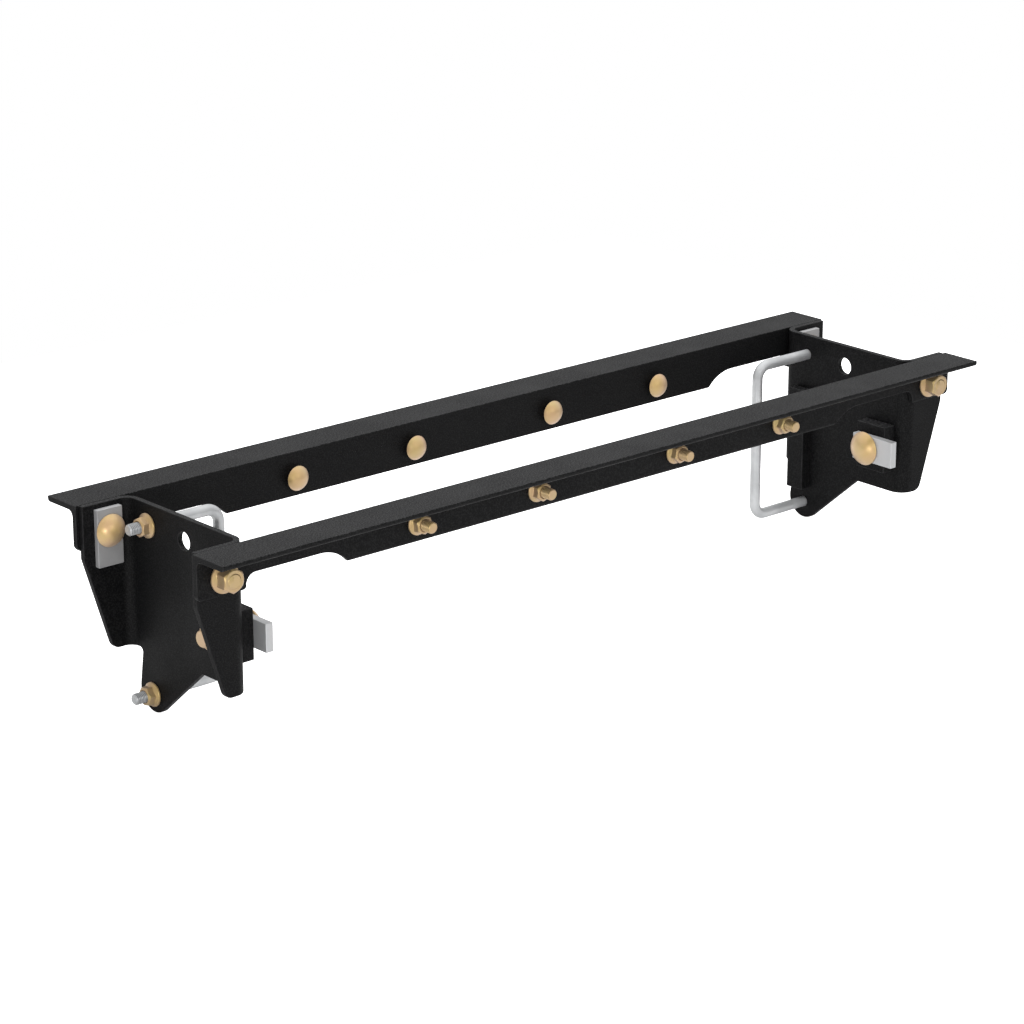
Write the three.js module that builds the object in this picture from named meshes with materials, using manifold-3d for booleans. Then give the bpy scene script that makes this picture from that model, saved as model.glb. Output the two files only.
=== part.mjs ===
// Fifth wheel hitch mounting bracket set. Two steel-angle cross rails carry the hitch head. They are bolted
// to two bent plate side brackets, and each bracket clamps to one rail of the truck's frame with a square
// U-bolt, a frame pad, and a clamp block on its own spacer and carriage bolt.
// Millimetres, +Z up, X along the cross rails, -Y to the front of the set. Every piece is a separate solid.
// Origin: centre of the hitch bay, level with the top faces of the cross rails.

import * as THREE from "three";
import { mergeVertices } from "three/addons/utils/BufferGeometryUtils.js";
import Module from "manifold-3d";

// Clearances
const CONTACT_GAP = 0.3;            // between two faces that are pressed together
const HOLE_CLEARANCE = 0.4;         // around a shank, a square neck or a bent rod, each side

// Cross rails: steel angle, heel at the inner top corner
const RAIL_LENGTH = 1117.6;
const RAIL_LEG = 50.8;
const RAIL_WALL = 6.35;
const RAIL_SPACING = 203.2;         // between the inner faces of the two webs
const RAIL_TOE_RADIUS = 4;
const RAIL_FILLET_RADIUS = 7;
const RELIEF_DEPTH = 17.1;          // cut up into the web from its lower edge
const RELIEF_SWEEP_RADIUS = 50.8;
const RELIEF_CORNER_RADIUS = 12;
const RELIEF_LAND = 92.5;           // from the outer hitch bolt to the relief's sharp tip
const TAB_INNER_RADIUS = 5;
const TAB_END_RADIUS = 8;
const RAIL_OVERHANG = 4;            // rail end past the bracket's flange

// Side brackets: one bent plate each, flanges turned outwards
const PLATE_THICKNESS = 6.35;
const BEND_INSIDE_RADIUS = 11;
const FLANGE_WIDTH = 64.3;          // from the main plate's inner face to the flange's outer edge
const FLANGE_FOOT = 30.9;           // width left at the flange's foot
const FLANGE_STRAIGHT = 58.5;       // flange edge is vertical down to here, then tapers
const FLANGE_CORNER_RADIUS = 11;
const NOTCH_INSET = 23.6;           // bend relief notch, in from the rear rail's web
const NOTCH_RADIUS = 5;
const APEX_OFFSET = 27.5;           // where the lower edge turns down to the lobe, ahead of the middle
const LOBE_RADIUS = 24;
const LOBE_SHIFT = 1.3;             // lobe centre ahead of the lower U-bolt leg
const LOBE_RISE = 4;                // and above it
const SPARE_HOLE_RADIUS = 10.3;
const SPARE_HOLE_OFFSET = 2;
const SPARE_HOLE_DROP = 25.7;

// Square U-bolts
const ROD_DIAMETER = 12.7;
const U_BOLT_SETBACK = 40.8;        // leg axis in from the rear rail's web
const U_BOLT_DROP = 24.1;           // upper leg below the rail tops
const U_BOLT_SPAN = 188.4;          // between leg axes
const LEG_BELOW_FOOT = 47.5;        // lower leg axis below the foot of the bracket's flanges
const FLANGE_HEIGHT = U_BOLT_DROP + U_BOLT_SPAN - LEG_BELOW_FOOT;
const U_BOLT_DEPTH = 85.1;          // from the main plate's inner face to the back's axis
const U_BOLT_CORNER_RADIUS = 16;
const U_BOLT_STUD = 25.5;           // leg past the main plate's outer face

// Frame pads, between the main plate and the truck's frame
const PAD_THICKNESS = 12.7;
const PAD_WIDTH = 25.4;
const PAD_HEIGHT = 127;
const PAD_OFFSET = 3.7;             // pad axis behind the U-bolt's
const PAD_LEG_CLEARANCE = 13;       // above the lower leg

// Clamp blocks and their spacers, at the front of each bracket
const CLAMP_SETBACK = 38.1;         // bolt axis in from the front rail's web
const CLAMP_DROP = 109.5;
const SPACER_THICKNESS = 17;
const SPACER_WIDTH = 44.5;
const SPACER_HEIGHT = 57;
const SPACER_SHIFT = 0.5;           // spacer's middle ahead of the bolt
const BLOCK_THICKNESS = 9.5;
const BLOCK_HEIGHT = 32;
const BLOCK_LENGTH = 62;
const BLOCK_HEEL = 19;              // block's rear end behind the bolt

// Plate washers and rail-end bolts
const WASHER_THICKNESS = 6.35;
const WASHER_WIDTH = 31.75;
const WASHER_HEIGHT = 63.5;
const WASHER_CLEARANCE = 1.3;       // between the washer and the bracket's bend
const WASHER_RISE = 7.3;            // bolt above the washer's middle
const END_BOLT_DROP = 30;

// Hitch bolts along the rails' webs
const HEAD_BOLT_DROP = 28.6;
const BASE_PLATE_GAP = 6.35;        // left under each head for the hitch's own base plate
const HEAD_BOLT_INNER = 103.2;
const HEAD_BOLT_OUTER = 271.5;

// Fastener sizes: shank diameter, dome head, flange nut, and the stud left past the nut
const HITCH_BOLT = {
  shank: 12.7, headDiameter: 28, headHeight: 9.2, neckLength: 5.5,
  nutAcross: 19.05, nutHeight: 12.7, nutFlange: 27, stud: 12.5,
};
const END_BOLT = {
  shank: 15.875, headDiameter: 36, headHeight: 12, neckLength: 5.5,
  nutAcross: 24.2, nutHeight: 17.5, nutFlange: 34, stud: 0.4,
};
const FRAME_BOLT = {
  shank: 19.05, headDiameter: 41, headHeight: 12.5, neckLength: 10,
  nutAcross: 28.6, nutHeight: 19, nutFlange: 40, stud: 7.5,
};
const U_BOLT_NUT = { shank: ROD_DIAMETER, nutAcross: 19.05, nutHeight: 12.7, nutFlange: 27 };
const HEAD_RIM = 0.9;
const NUT_FLANGE_THICKNESS = 2.4;
const NUT_CONE_HEIGHT = 2.6;
const SHANK_CHAMFER = 1;
const NUT_FLANGE_SLOPE = 0.8;       // how far the flange's top edge leans in
const THREAD_CLEARANCE = 0.3;       // between a nut and its shank

// Facets
const ARC_STEPS = 4;
const ROUND_STEPS = 16;
const CUT_PAST = 1;                 // how far a cutter reaches past what it cuts

// Places that follow from the sizes above
const RAIL_Y = RAIL_SPACING / 2;
const RAIL_HALF = RAIL_LENGTH / 2;
const PLATE_INNER_X = RAIL_HALF - RAIL_OVERHANG - FLANGE_WIDTH;
const PLATE_OUTER_X = PLATE_INNER_X + PLATE_THICKNESS;
const BRACKET_Y = RAIL_Y - CONTACT_GAP;
const FLANGE_INNER_Y = BRACKET_Y - PLATE_THICKNESS;
const U_BOLT_Y = RAIL_Y - U_BOLT_SETBACK;
const UPPER_LEG_Z = -U_BOLT_DROP;
const LOWER_LEG_Z = UPPER_LEG_Z - U_BOLT_SPAN;
const CLAMP_Y = -RAIL_Y + CLAMP_SETBACK;
const CLAMP_Z = -CLAMP_DROP;
const BEND_TANGENT_X = PLATE_OUTER_X + BEND_INSIDE_RADIUS;
const END_BOLT_X = BEND_TANGENT_X + WASHER_CLEARANCE + WASHER_WIDTH / 2;
const HEAD_BOLT_XS = [-HEAD_BOLT_OUTER, -HEAD_BOLT_INNER, HEAD_BOLT_INNER, HEAD_BOLT_OUTER];

const wasm = await Module();
wasm.setup();

const blackCoat = new THREE.MeshStandardMaterial({ color: 0x262626, roughness: 0.55, metalness: 0.1 });
const yellowZinc = new THREE.MeshStandardMaterial({ color: 0xc9a578, roughness: 0.35, metalness: 0.85 });
const clearZinc = new THREE.MeshStandardMaterial({ color: 0xb9bcc0, roughness: 0.4, metalness: 0.8 });

const group = new THREE.Group();

// ---- geometry helpers

// Points of a closed outline. Each corner is [a, b] or [a, b, radius], and a radius rounds that corner.
function roundedPoints(corners) {
  const points = [];
  corners.forEach(([a, b, radius = 0], i) => {
    const corner = new THREE.Vector2(a, b);
    if (radius === 0) {
      points.push(corner);
      return;
    }
    const before = corners[(i + corners.length - 1) % corners.length];
    const after = corners[(i + 1) % corners.length];
    const back = new THREE.Vector2(before[0] - a, before[1] - b).normalize();
    const ahead = new THREE.Vector2(after[0] - a, after[1] - b).normalize();
    const halfAngle = Math.acos(back.dot(ahead)) / 2;
    const tangent = radius / Math.tan(halfAngle);
    const toCentre = back.clone().add(ahead).normalize().multiplyScalar(radius / Math.sin(halfAngle));
    const centre = corner.clone().add(toCentre);
    const start = corner.clone().addScaledVector(back, tangent).sub(centre);
    const turn = Math.PI - 2 * halfAngle;
    const sense = -Math.sign(back.cross(ahead));
    for (let step = 0; step <= ARC_STEPS; step += 1) {
      const point = start.clone().rotateAround(new THREE.Vector2(), (sense * turn * step) / ARC_STEPS);
      points.push(point.add(centre));
    }
  });
  return points;
}

function outline(corners) {
  return new THREE.Shape(roundedPoints(corners));
}

function arcPoints(centreA, centreB, radius, fromAngle, toAngle, steps) {
  const points = [];
  for (let step = 0; step <= steps; step += 1) {
    const angle = fromAngle + ((toAngle - fromAngle) * step) / steps;
    points.push([centreA + radius * Math.cos(angle), centreB + radius * Math.sin(angle)]);
  }
  return points;
}

function disc(radius, centreA, centreB) {
  return outline(arcPoints(centreA, centreB, radius, 0, 2 * Math.PI, ROUND_STEPS).slice(0, -1));
}

function rectangle(lowA, highA, lowB, highB) {
  return outline([[lowA, lowB], [highA, lowB], [highA, highB], [lowA, highB]]);
}

function square(halfWidth, centreA, centreB) {
  return rectangle(centreA - halfWidth, centreA + halfWidth, centreB - halfWidth, centreB + halfWidth);
}

// An outline in (y, z) swept along X, in (x, z) swept along Y, or in (x, y) swept along Z.
function sweep(shape, axis, low, high) {
  const geometry = new THREE.ExtrudeGeometry(shape, { depth: high - low, bevelEnabled: false });
  const matrix = new THREE.Matrix4();
  if (axis === "x") {
    matrix.makeBasis(new THREE.Vector3(0, 1, 0), new THREE.Vector3(0, 0, 1), new THREE.Vector3(1, 0, 0));
    matrix.setPosition(low, 0, 0);
  } else if (axis === "y") {
    matrix.makeBasis(new THREE.Vector3(1, 0, 0), new THREE.Vector3(0, 0, 1), new THREE.Vector3(0, -1, 0));
    matrix.setPosition(0, high, 0);
  } else {
    matrix.setPosition(0, 0, low);
  }
  return toSolid(geometry.applyMatrix4(matrix));
}

function toSolid(geometry) {
  const bare = geometry.clone();
  bare.deleteAttribute("normal");
  bare.deleteAttribute("uv");
  const merged = mergeVertices(bare, 1e-4);
  const index = merged.index.array;
  const triangles = [];
  for (let i = 0; i < index.length; i += 3) {
    const [a, b, c] = [index[i], index[i + 1], index[i + 2]];
    if (a !== b && b !== c && c !== a) {
      triangles.push(a, b, c);
    }
  }
  const vertProperties = new Float32Array(merged.attributes.position.array);
  const triVerts = new Uint32Array(triangles);
  return new wasm.Manifold(new wasm.Mesh({ numProp: 3, vertProperties, triVerts }));
}

function toGeometry(solid) {
  const mesh = solid.getMesh();
  const geometry = new THREE.BufferGeometry();
  geometry.setAttribute("position", new THREE.BufferAttribute(new Float32Array(mesh.vertProperties), 3));
  geometry.setIndex(new THREE.BufferAttribute(new Uint32Array(mesh.triVerts), 1));
  const faceted = geometry.toNonIndexed();
  faceted.computeVertexNormals();
  return faceted;
}

function mirroredX(geometry) {
  const mirrored = geometry.clone();
  const position = mirrored.attributes.position;
  const original = geometry.attributes.position;
  for (let i = 0; i < position.count; i += 3) {
    [0, 2, 1].forEach((source, k) => {
      const corner = new THREE.Vector3().fromBufferAttribute(original, i + source);
      position.setXYZ(i + k, -corner.x, corner.y, corner.z);
    });
  }
  mirrored.computeVertexNormals();
  return mirrored;
}

function addMesh(name, geometry, material) {
  const mesh = new THREE.Mesh(geometry, material);
  mesh.name = name;
  group.add(mesh);
  return mesh;
}

// ---- fasteners, built along +Z: the dome head sits on z = 0 and the shank runs down from it

function carriageBolt(size, grip) {
  const length = grip + size.nutHeight + size.stud;
  const headRadius = size.headDiameter / 2;
  const crown = size.headHeight - HEAD_RIM;
  const sphereRadius = (crown * crown + headRadius * headRadius) / (2 * crown);
  const sphereCentre = size.headHeight - sphereRadius;
  const rimAngle = Math.asin(headRadius / sphereRadius);
  const profile = [];
  for (let step = 0; step <= ARC_STEPS; step += 1) {
    const angle = (rimAngle * step) / ARC_STEPS;
    const height = sphereCentre + sphereRadius * Math.cos(angle);
    profile.push(new THREE.Vector2(sphereRadius * Math.sin(angle), height));
  }
  profile[0].x = 0;
  const shankRadius = size.shank / 2;
  profile.push(new THREE.Vector2(headRadius, 0));
  profile.push(new THREE.Vector2(shankRadius, 0));
  profile.push(new THREE.Vector2(shankRadius, -length + SHANK_CHAMFER));
  profile.push(new THREE.Vector2(shankRadius - SHANK_CHAMFER, -length));
  profile.push(new THREE.Vector2(0, -length));
  const turned = new THREE.LatheGeometry(profile.reverse(), ROUND_STEPS).rotateX(Math.PI / 2);
  const neck = sweep(square(shankRadius, 0, 0), "z", -size.neckLength, HEAD_RIM / 2);
  return toGeometry(toSolid(turned).add(neck));
}

// A hexagonal flange nut along +Z, its flange face on z = 0
function flangeNut(size) {
  const bore = size.shank / 2 + THREAD_CLEARANCE;
  const flangeRadius = size.nutFlange / 2;
  const hexRadius = size.nutAcross / Math.sqrt(3);
  const coneTop = NUT_FLANGE_THICKNESS + NUT_CONE_HEIGHT;
  const profile = [
    [0, 0], [flangeRadius, 0], [flangeRadius, NUT_FLANGE_THICKNESS / 2],
    [flangeRadius - NUT_FLANGE_SLOPE, NUT_FLANGE_THICKNESS], [size.nutAcross / 2, coneTop], [0, coneTop],
  ].map(([radius, height]) => new THREE.Vector2(radius, height));
  const flange = toSolid(new THREE.LatheGeometry(profile, ROUND_STEPS).rotateX(Math.PI / 2));
  const hexagon = outline(arcPoints(0, 0, hexRadius, 0, 2 * Math.PI, 6).slice(0, -1));
  const hex = sweep(hexagon, "z", NUT_FLANGE_THICKNESS / 2, size.nutHeight);
  const borer = sweep(disc(bore, 0, 0), "z", -CUT_PAST, size.nutHeight + CUT_PAST);
  return toGeometry(flange.add(hex).subtract(borer));
}

// ---- cross rails

// An outline in (x, z), swept through the web
function webCutter(shape) {
  return sweep(shape, "y", RAIL_Y - CUT_PAST, RAIL_Y + RAIL_WALL + CUT_PAST);
}

// The same outline on the right or left half of the rail
function handedOutline(corners, side) {
  return outline(corners.map(([x, z, radius]) => [side * x, z, radius]));
}

function reliefCutter(side) {
  const top = -RAIL_LEG + RELIEF_DEPTH;
  const tip = HEAD_BOLT_OUTER + RELIEF_LAND;
  const tab = PLATE_OUTER_X;
  const run = Math.sqrt(2 * RELIEF_SWEEP_RADIUS * RELIEF_DEPTH - RELIEF_DEPTH ** 2);
  const endAngle = Math.PI / 2;
  const startAngle = endAngle + Math.asin(run / RELIEF_SWEEP_RADIUS);
  const sweepCentreZ = top - RELIEF_SWEEP_RADIUS;
  const below = -RAIL_LEG - CUT_PAST;
  const tabCentreZ = -RAIL_LEG + TAB_INNER_RADIUS;
  const tabCorner = arcPoints(
    tab + TAB_INNER_RADIUS, tabCentreZ, TAB_INNER_RADIUS, Math.PI, 1.5 * Math.PI, ARC_STEPS,
  );
  const corners = [
    [tip, below],
    ...arcPoints(tip + run, sweepCentreZ, RELIEF_SWEEP_RADIUS, startAngle, endAngle, 2 * ARC_STEPS),
    [tab, top, RELIEF_CORNER_RADIUS],
    ...tabCorner,
    [tab + TAB_INNER_RADIUS, below],
  ];
  return webCutter(handedOutline(corners, side));
}

function tabEndCutter(side) {
  const centreX = RAIL_HALF - TAB_END_RADIUS;
  const centreZ = -RAIL_LEG + TAB_END_RADIUS;
  const corners = [
    [centreX, -RAIL_LEG - CUT_PAST],
    ...arcPoints(centreX, centreZ, TAB_END_RADIUS, 1.5 * Math.PI, 2 * Math.PI, ARC_STEPS),
    [RAIL_HALF + CUT_PAST, centreZ],
    [RAIL_HALF + CUT_PAST, -RAIL_LEG - CUT_PAST],
  ];
  return webCutter(handedOutline(corners, side));
}

function crossRail() {
  const heel = RAIL_Y;
  const profile = outline([
    [heel, 0],
    [heel, -RAIL_LEG],
    [heel + RAIL_WALL, -RAIL_LEG, RAIL_TOE_RADIUS],
    [heel + RAIL_WALL, -RAIL_WALL, RAIL_FILLET_RADIUS],
    [heel + RAIL_LEG, -RAIL_WALL, RAIL_TOE_RADIUS],
    [heel + RAIL_LEG, 0],
  ]);
  let rail = sweep(profile, "x", -RAIL_HALF, RAIL_HALF);
  const hitchHole = HITCH_BOLT.shank / 2 + HOLE_CLEARANCE;
  const endHole = END_BOLT.shank / 2 + HOLE_CLEARANCE;
  for (const x of HEAD_BOLT_XS) {
    rail = rail.subtract(webCutter(disc(hitchHole, x, -HEAD_BOLT_DROP)));
  }
  for (const side of [-1, 1]) {
    rail = rail.subtract(webCutter(disc(endHole, side * END_BOLT_X, -END_BOLT_DROP)));
    rail = rail.subtract(reliefCutter(side));
    rail = rail.subtract(tabEndCutter(side));
  }
  return toGeometry(rail);
}

// ---- side brackets

// Direction, from the circle's centre, of the point where a line from (a, b) touches the circle
function tangentAngle(a, b, centreA, centreB, radius, sense) {
  const reach = Math.hypot(a - centreA, b - centreB);
  return Math.atan2(b - centreB, a - centreA) + sense * Math.acos(radius / reach);
}

function sideBracket() {
  const outerRadius = BEND_INSIDE_RADIUS + PLATE_THICKNESS;
  const edgeX = PLATE_INNER_X + FLANGE_WIDTH;
  const lobeY = U_BOLT_Y - LOBE_SHIFT;
  const lobeZ = LOWER_LEG_Z + LOBE_RISE;
  const notchY = RAIL_Y - NOTCH_INSET;
  const foot = -FLANGE_HEIGHT;
  const slantStart = tangentAngle(-APEX_OFFSET, foot, lobeY, lobeZ, LOBE_RADIUS, 1);
  const rearEnd = tangentAngle(notchY, foot - NOTCH_RADIUS, lobeY, lobeZ, LOBE_RADIUS, -1) + 2 * Math.PI;

  const notch = arcPoints(
    notchY + NOTCH_RADIUS, foot - NOTCH_RADIUS, NOTCH_RADIUS, Math.PI, Math.PI / 2, ARC_STEPS,
  );

  const channel = outline([
    [edgeX, BRACKET_Y],
    [PLATE_INNER_X, BRACKET_Y, outerRadius],
    [PLATE_INNER_X, -BRACKET_Y, outerRadius],
    [edgeX, -BRACKET_Y],
    [edgeX, -FLANGE_INNER_Y],
    [PLATE_OUTER_X, -FLANGE_INNER_Y, BEND_INSIDE_RADIUS],
    [PLATE_OUTER_X, FLANGE_INNER_Y, BEND_INSIDE_RADIUS],
    [edgeX, FLANGE_INNER_Y],
  ]);
  const sideView = outline([
    [-BRACKET_Y - CUT_PAST, CUT_PAST],
    [-BRACKET_Y - CUT_PAST, foot],
    [-APEX_OFFSET, foot],
    ...arcPoints(lobeY, lobeZ, LOBE_RADIUS, slantStart, rearEnd, 2 * ARC_STEPS),
    [notchY, foot - NOTCH_RADIUS],
    ...notch.slice(1),
    [BRACKET_Y + CUT_PAST, foot],
    [BRACKET_Y + CUT_PAST, CUT_PAST],
  ]);
  const lobeBottom = lobeZ - LOBE_RADIUS - CUT_PAST;
  const frontView = outline([
    [PLATE_INNER_X - CUT_PAST, CUT_PAST],
    [PLATE_INNER_X - CUT_PAST, lobeBottom],
    [BEND_TANGENT_X - BEND_INSIDE_RADIUS / 2, lobeBottom],
    [BEND_TANGENT_X - BEND_INSIDE_RADIUS / 2, foot],
    [PLATE_INNER_X + FLANGE_FOOT, foot, FLANGE_CORNER_RADIUS],
    [edgeX, -FLANGE_STRAIGHT],
    [edgeX + CUT_PAST, -FLANGE_STRAIGHT + CUT_PAST],
    [edgeX + CUT_PAST, CUT_PAST],
  ]);
  const legHole = ROD_DIAMETER / 2 + HOLE_CLEARANCE;
  let bracket = sweep(channel, "z", lobeBottom, 0)
    .intersect(sweep(sideView, "x", PLATE_INNER_X - CUT_PAST, edgeX + CUT_PAST))
    .intersect(sweep(frontView, "y", -BRACKET_Y - CUT_PAST, BRACKET_Y + CUT_PAST));
  const plateHoles = [
    disc(legHole, U_BOLT_Y, UPPER_LEG_Z),
    disc(legHole, U_BOLT_Y, LOWER_LEG_Z),
    disc(FRAME_BOLT.shank / 2 + HOLE_CLEARANCE, CLAMP_Y, CLAMP_Z),
    disc(SPARE_HOLE_RADIUS, -SPARE_HOLE_OFFSET, -SPARE_HOLE_DROP),
  ];
  for (const hole of plateHoles) {
    bracket = bracket.subtract(sweep(hole, "x", PLATE_INNER_X - CUT_PAST, PLATE_OUTER_X + CUT_PAST));
  }
  const endHole = disc(END_BOLT.shank / 2 + HOLE_CLEARANCE, END_BOLT_X, -END_BOLT_DROP);
  bracket = bracket.subtract(sweep(endHole, "y", -BRACKET_Y - CUT_PAST, BRACKET_Y + CUT_PAST));
  return toGeometry(bracket);
}

// ---- U-bolts

// The rod's centre line: two straight legs and a straight back joined by quarter turns
class RodPath extends THREE.Curve {
  constructor(stations) {
    super();
    this.stations = stations;
  }

  stationAt(u) {
    return this.stations[Math.round(u * (this.stations.length - 1))];
  }

  getPointAt(u) {
    return this.stationAt(u).point.clone();
  }

  getTangentAt(u) {
    return this.stationAt(u).tangent.clone();
  }
}

function rodStations(backX, studX, cornerRadius) {
  const station = (x, z, angle) => ({
    point: new THREE.Vector3(x, U_BOLT_Y, z),
    tangent: new THREE.Vector3(Math.cos(angle), 0, Math.sin(angle)),
  });
  const stations = [station(studX, UPPER_LEG_Z, Math.PI)];
  const turns = [[UPPER_LEG_Z - cornerRadius, Math.PI / 2], [LOWER_LEG_Z + cornerRadius, Math.PI]];
  for (const [centreZ, startAngle] of turns) {
    for (let step = 0; step <= ARC_STEPS; step += 1) {
      const angle = startAngle + (Math.PI / 2) * (step / ARC_STEPS);
      const x = backX + cornerRadius + cornerRadius * Math.cos(angle);
      stations.push(station(x, centreZ + cornerRadius * Math.sin(angle), angle + Math.PI / 2));
    }
  }
  stations.push(station(studX, LOWER_LEG_Z, 2 * Math.PI));
  return stations;
}

function uBolt() {
  const backX = PLATE_INNER_X - U_BOLT_DEPTH;
  const stations = rodStations(backX, PLATE_OUTER_X + U_BOLT_STUD, U_BOLT_CORNER_RADIUS);
  const rod = new THREE.ExtrudeGeometry(disc(ROD_DIAMETER / 2, 0, 0), {
    steps: stations.length - 1, bevelEnabled: false, extrudePath: new RodPath(stations),
  });
  return toGeometry(toSolid(rod));
}

// ---- blocks that sit against the main plate

function plateBlock(fromPlate, thickness, lowY, highY, lowZ, highZ, hole) {
  const near = PLATE_INNER_X - fromPlate - thickness;
  const block = sweep(rectangle(lowY, highY, lowZ, highZ), "x", near, near + thickness);
  const cutter = hole && sweep(hole, "x", near - CUT_PAST, near + thickness + CUT_PAST);
  return toGeometry(cutter ? block.subtract(cutter) : block);
}

function framePad() {
  const centreY = U_BOLT_Y + PAD_OFFSET;
  const lowZ = LOWER_LEG_Z + ROD_DIAMETER / 2 + PAD_LEG_CLEARANCE;
  return plateBlock(CONTACT_GAP, PAD_THICKNESS, centreY - PAD_WIDTH / 2, centreY + PAD_WIDTH / 2, lowZ,
    lowZ + PAD_HEIGHT);
}

function clampSpacer() {
  const hole = disc(FRAME_BOLT.shank / 2 + HOLE_CLEARANCE, CLAMP_Y, CLAMP_Z);
  const rear = CLAMP_Y - SPACER_SHIFT + SPACER_WIDTH / 2;
  return plateBlock(CONTACT_GAP, SPACER_THICKNESS, rear - SPACER_WIDTH, rear, CLAMP_Z - SPACER_HEIGHT / 2,
    CLAMP_Z + SPACER_HEIGHT / 2, hole);
}

function clampBlock() {
  const hole = square(FRAME_BOLT.shank / 2 + HOLE_CLEARANCE, CLAMP_Y, CLAMP_Z);
  const rear = CLAMP_Y + BLOCK_HEEL;
  return plateBlock(2 * CONTACT_GAP + SPACER_THICKNESS, BLOCK_THICKNESS, rear - BLOCK_LENGTH, rear,
    CLAMP_Z - BLOCK_HEIGHT / 2, CLAMP_Z + BLOCK_HEIGHT / 2, hole);
}

// A plate washer on the inner face of the rear flange
function plateWasher() {
  const back = FLANGE_INNER_Y - CONTACT_GAP;
  const middle = -END_BOLT_DROP - WASHER_RISE;
  const low = middle - WASHER_HEIGHT / 2;
  const outboard = END_BOLT_X + WASHER_WIDTH / 2;
  const face = rectangle(outboard - WASHER_WIDTH, outboard, low, low + WASHER_HEIGHT);
  const hole = square(END_BOLT.shank / 2 + HOLE_CLEARANCE, END_BOLT_X, -END_BOLT_DROP);
  const washer = sweep(face, "y", back - WASHER_THICKNESS, back);
  return toGeometry(washer.subtract(sweep(hole, "y", back - WASHER_THICKNESS - CUT_PAST, back + CUT_PAST)));
}

// ---- assembly

// A fastener is built along +Z. Its seat is turned so that +Z points the given way.
function seat(name, geometry, material, x, y, z, direction) {
  const mesh = addMesh(name, geometry, material);
  mesh.position.set(x, y, z);
  mesh.quaternion.setFromUnitVectors(new THREE.Vector3(0, 0, 1), new THREE.Vector3(...direction));
  return mesh;
}

const railGeometry = crossRail();
const bracketGeometry = sideBracket();
const uBoltGeometry = uBolt();
const padGeometry = framePad();
const spacerGeometry = clampSpacer();
const blockGeometry = clampBlock();
const washerGeometry = plateWasher();
const hitchBolt = carriageBolt(HITCH_BOLT, BASE_PLATE_GAP + RAIL_WALL + CONTACT_GAP);
const hitchNut = flangeNut(HITCH_BOLT);
const endGrip = WASHER_THICKNESS + PLATE_THICKNESS + RAIL_WALL + 4 * CONTACT_GAP;
const endBolt = carriageBolt(END_BOLT, endGrip);
const endNut = flangeNut(END_BOLT);
const frameGrip = BLOCK_THICKNESS + SPACER_THICKNESS + PLATE_THICKNESS + 4 * CONTACT_GAP;
const frameBolt = carriageBolt(FRAME_BOLT, frameGrip);
const frameNut = flangeNut(FRAME_BOLT);
const uBoltNut = flangeNut(U_BOLT_NUT);

const webOuterY = RAIL_Y + RAIL_WALL + CONTACT_GAP;
const plateNutX = PLATE_OUTER_X + CONTACT_GAP;
const washerFaceY = FLANGE_INNER_Y - 2 * CONTACT_GAP - WASHER_THICKNESS;
const blockFaceX = PLATE_INNER_X - 3 * CONTACT_GAP - SPACER_THICKNESS - BLOCK_THICKNESS;

for (const [end, rear] of [["rear", 1], ["front", -1]]) {
  addMesh(`cross_rail_${end}`, railGeometry, blackCoat).rotation.z = rear === 1 ? 0 : Math.PI;
  HEAD_BOLT_XS.forEach((x, i) => {
    const y = rear * (RAIL_Y - BASE_PLATE_GAP);
    seat(`hitch_bolt_${end}_${i + 1}`, hitchBolt, yellowZinc, x, y, -HEAD_BOLT_DROP, [0, -rear, 0]);
    const nut = `hitch_bolt_nut_${end}_${i + 1}`;
    seat(nut, hitchNut, yellowZinc, x, rear * webOuterY, -HEAD_BOLT_DROP, [0, rear, 0]);
  });
  for (const [name, side] of [["left", -1], ["right", 1]]) {
    const x = side * END_BOLT_X;
    const z = -END_BOLT_DROP;
    const washer = side * rear === 1 ? washerGeometry : mirroredX(washerGeometry);
    addMesh(`plate_washer_${end}_${name}`, washer, clearZinc).rotation.z = rear === 1 ? 0 : Math.PI;
    seat(`rail_end_bolt_${end}_${name}`, endBolt, yellowZinc, x, rear * washerFaceY, z, [0, -rear, 0]);
    seat(`rail_end_nut_${end}_${name}`, endNut, yellowZinc, x, rear * webOuterY, z, [0, rear, 0]);
  }
}

for (const [name, side] of [["left", -1], ["right", 1]]) {
  const handed = (geometry) => (side === 1 ? geometry : mirroredX(geometry));
  addMesh(`side_bracket_${name}`, handed(bracketGeometry), blackCoat);
  addMesh(`u_bolt_${name}`, handed(uBoltGeometry), clearZinc);
  addMesh(`frame_pad_${name}`, handed(padGeometry), blackCoat);
  addMesh(`clamp_spacer_${name}`, handed(spacerGeometry), blackCoat);
  addMesh(`clamp_block_${name}`, handed(blockGeometry), clearZinc);
  for (const [level, z] of [["upper", UPPER_LEG_Z], ["lower", LOWER_LEG_Z]]) {
    seat(`u_bolt_nut_${name}_${level}`, uBoltNut, yellowZinc, side * plateNutX, U_BOLT_Y, z, [side, 0, 0]);
  }
  seat(`frame_bolt_${name}`, frameBolt, yellowZinc, side * blockFaceX, CLAMP_Y, CLAMP_Z, [-side, 0, 0]);
  seat(`frame_bolt_nut_${name}`, frameNut, yellowZinc, side * plateNutX, CLAMP_Y, CLAMP_Z, [side, 0, 0]);
}

export default group;
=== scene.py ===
"""The looks of a fifth wheel hitch's rail set: two angle-steel cross rails, two bent side brackets, square
U-bolts, clamp blocks, pads and the fasteners that hold them together. It is laid out as an add-on and run as
a script. Lengths are in metres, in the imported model's frame: +X along the rails, -Y to the front, +Z up."""

import math

import bmesh
import bpy
from bpy.props import FloatProperty, FloatVectorProperty, IntProperty, PointerProperty
from mathutils import Matrix, Vector


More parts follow.
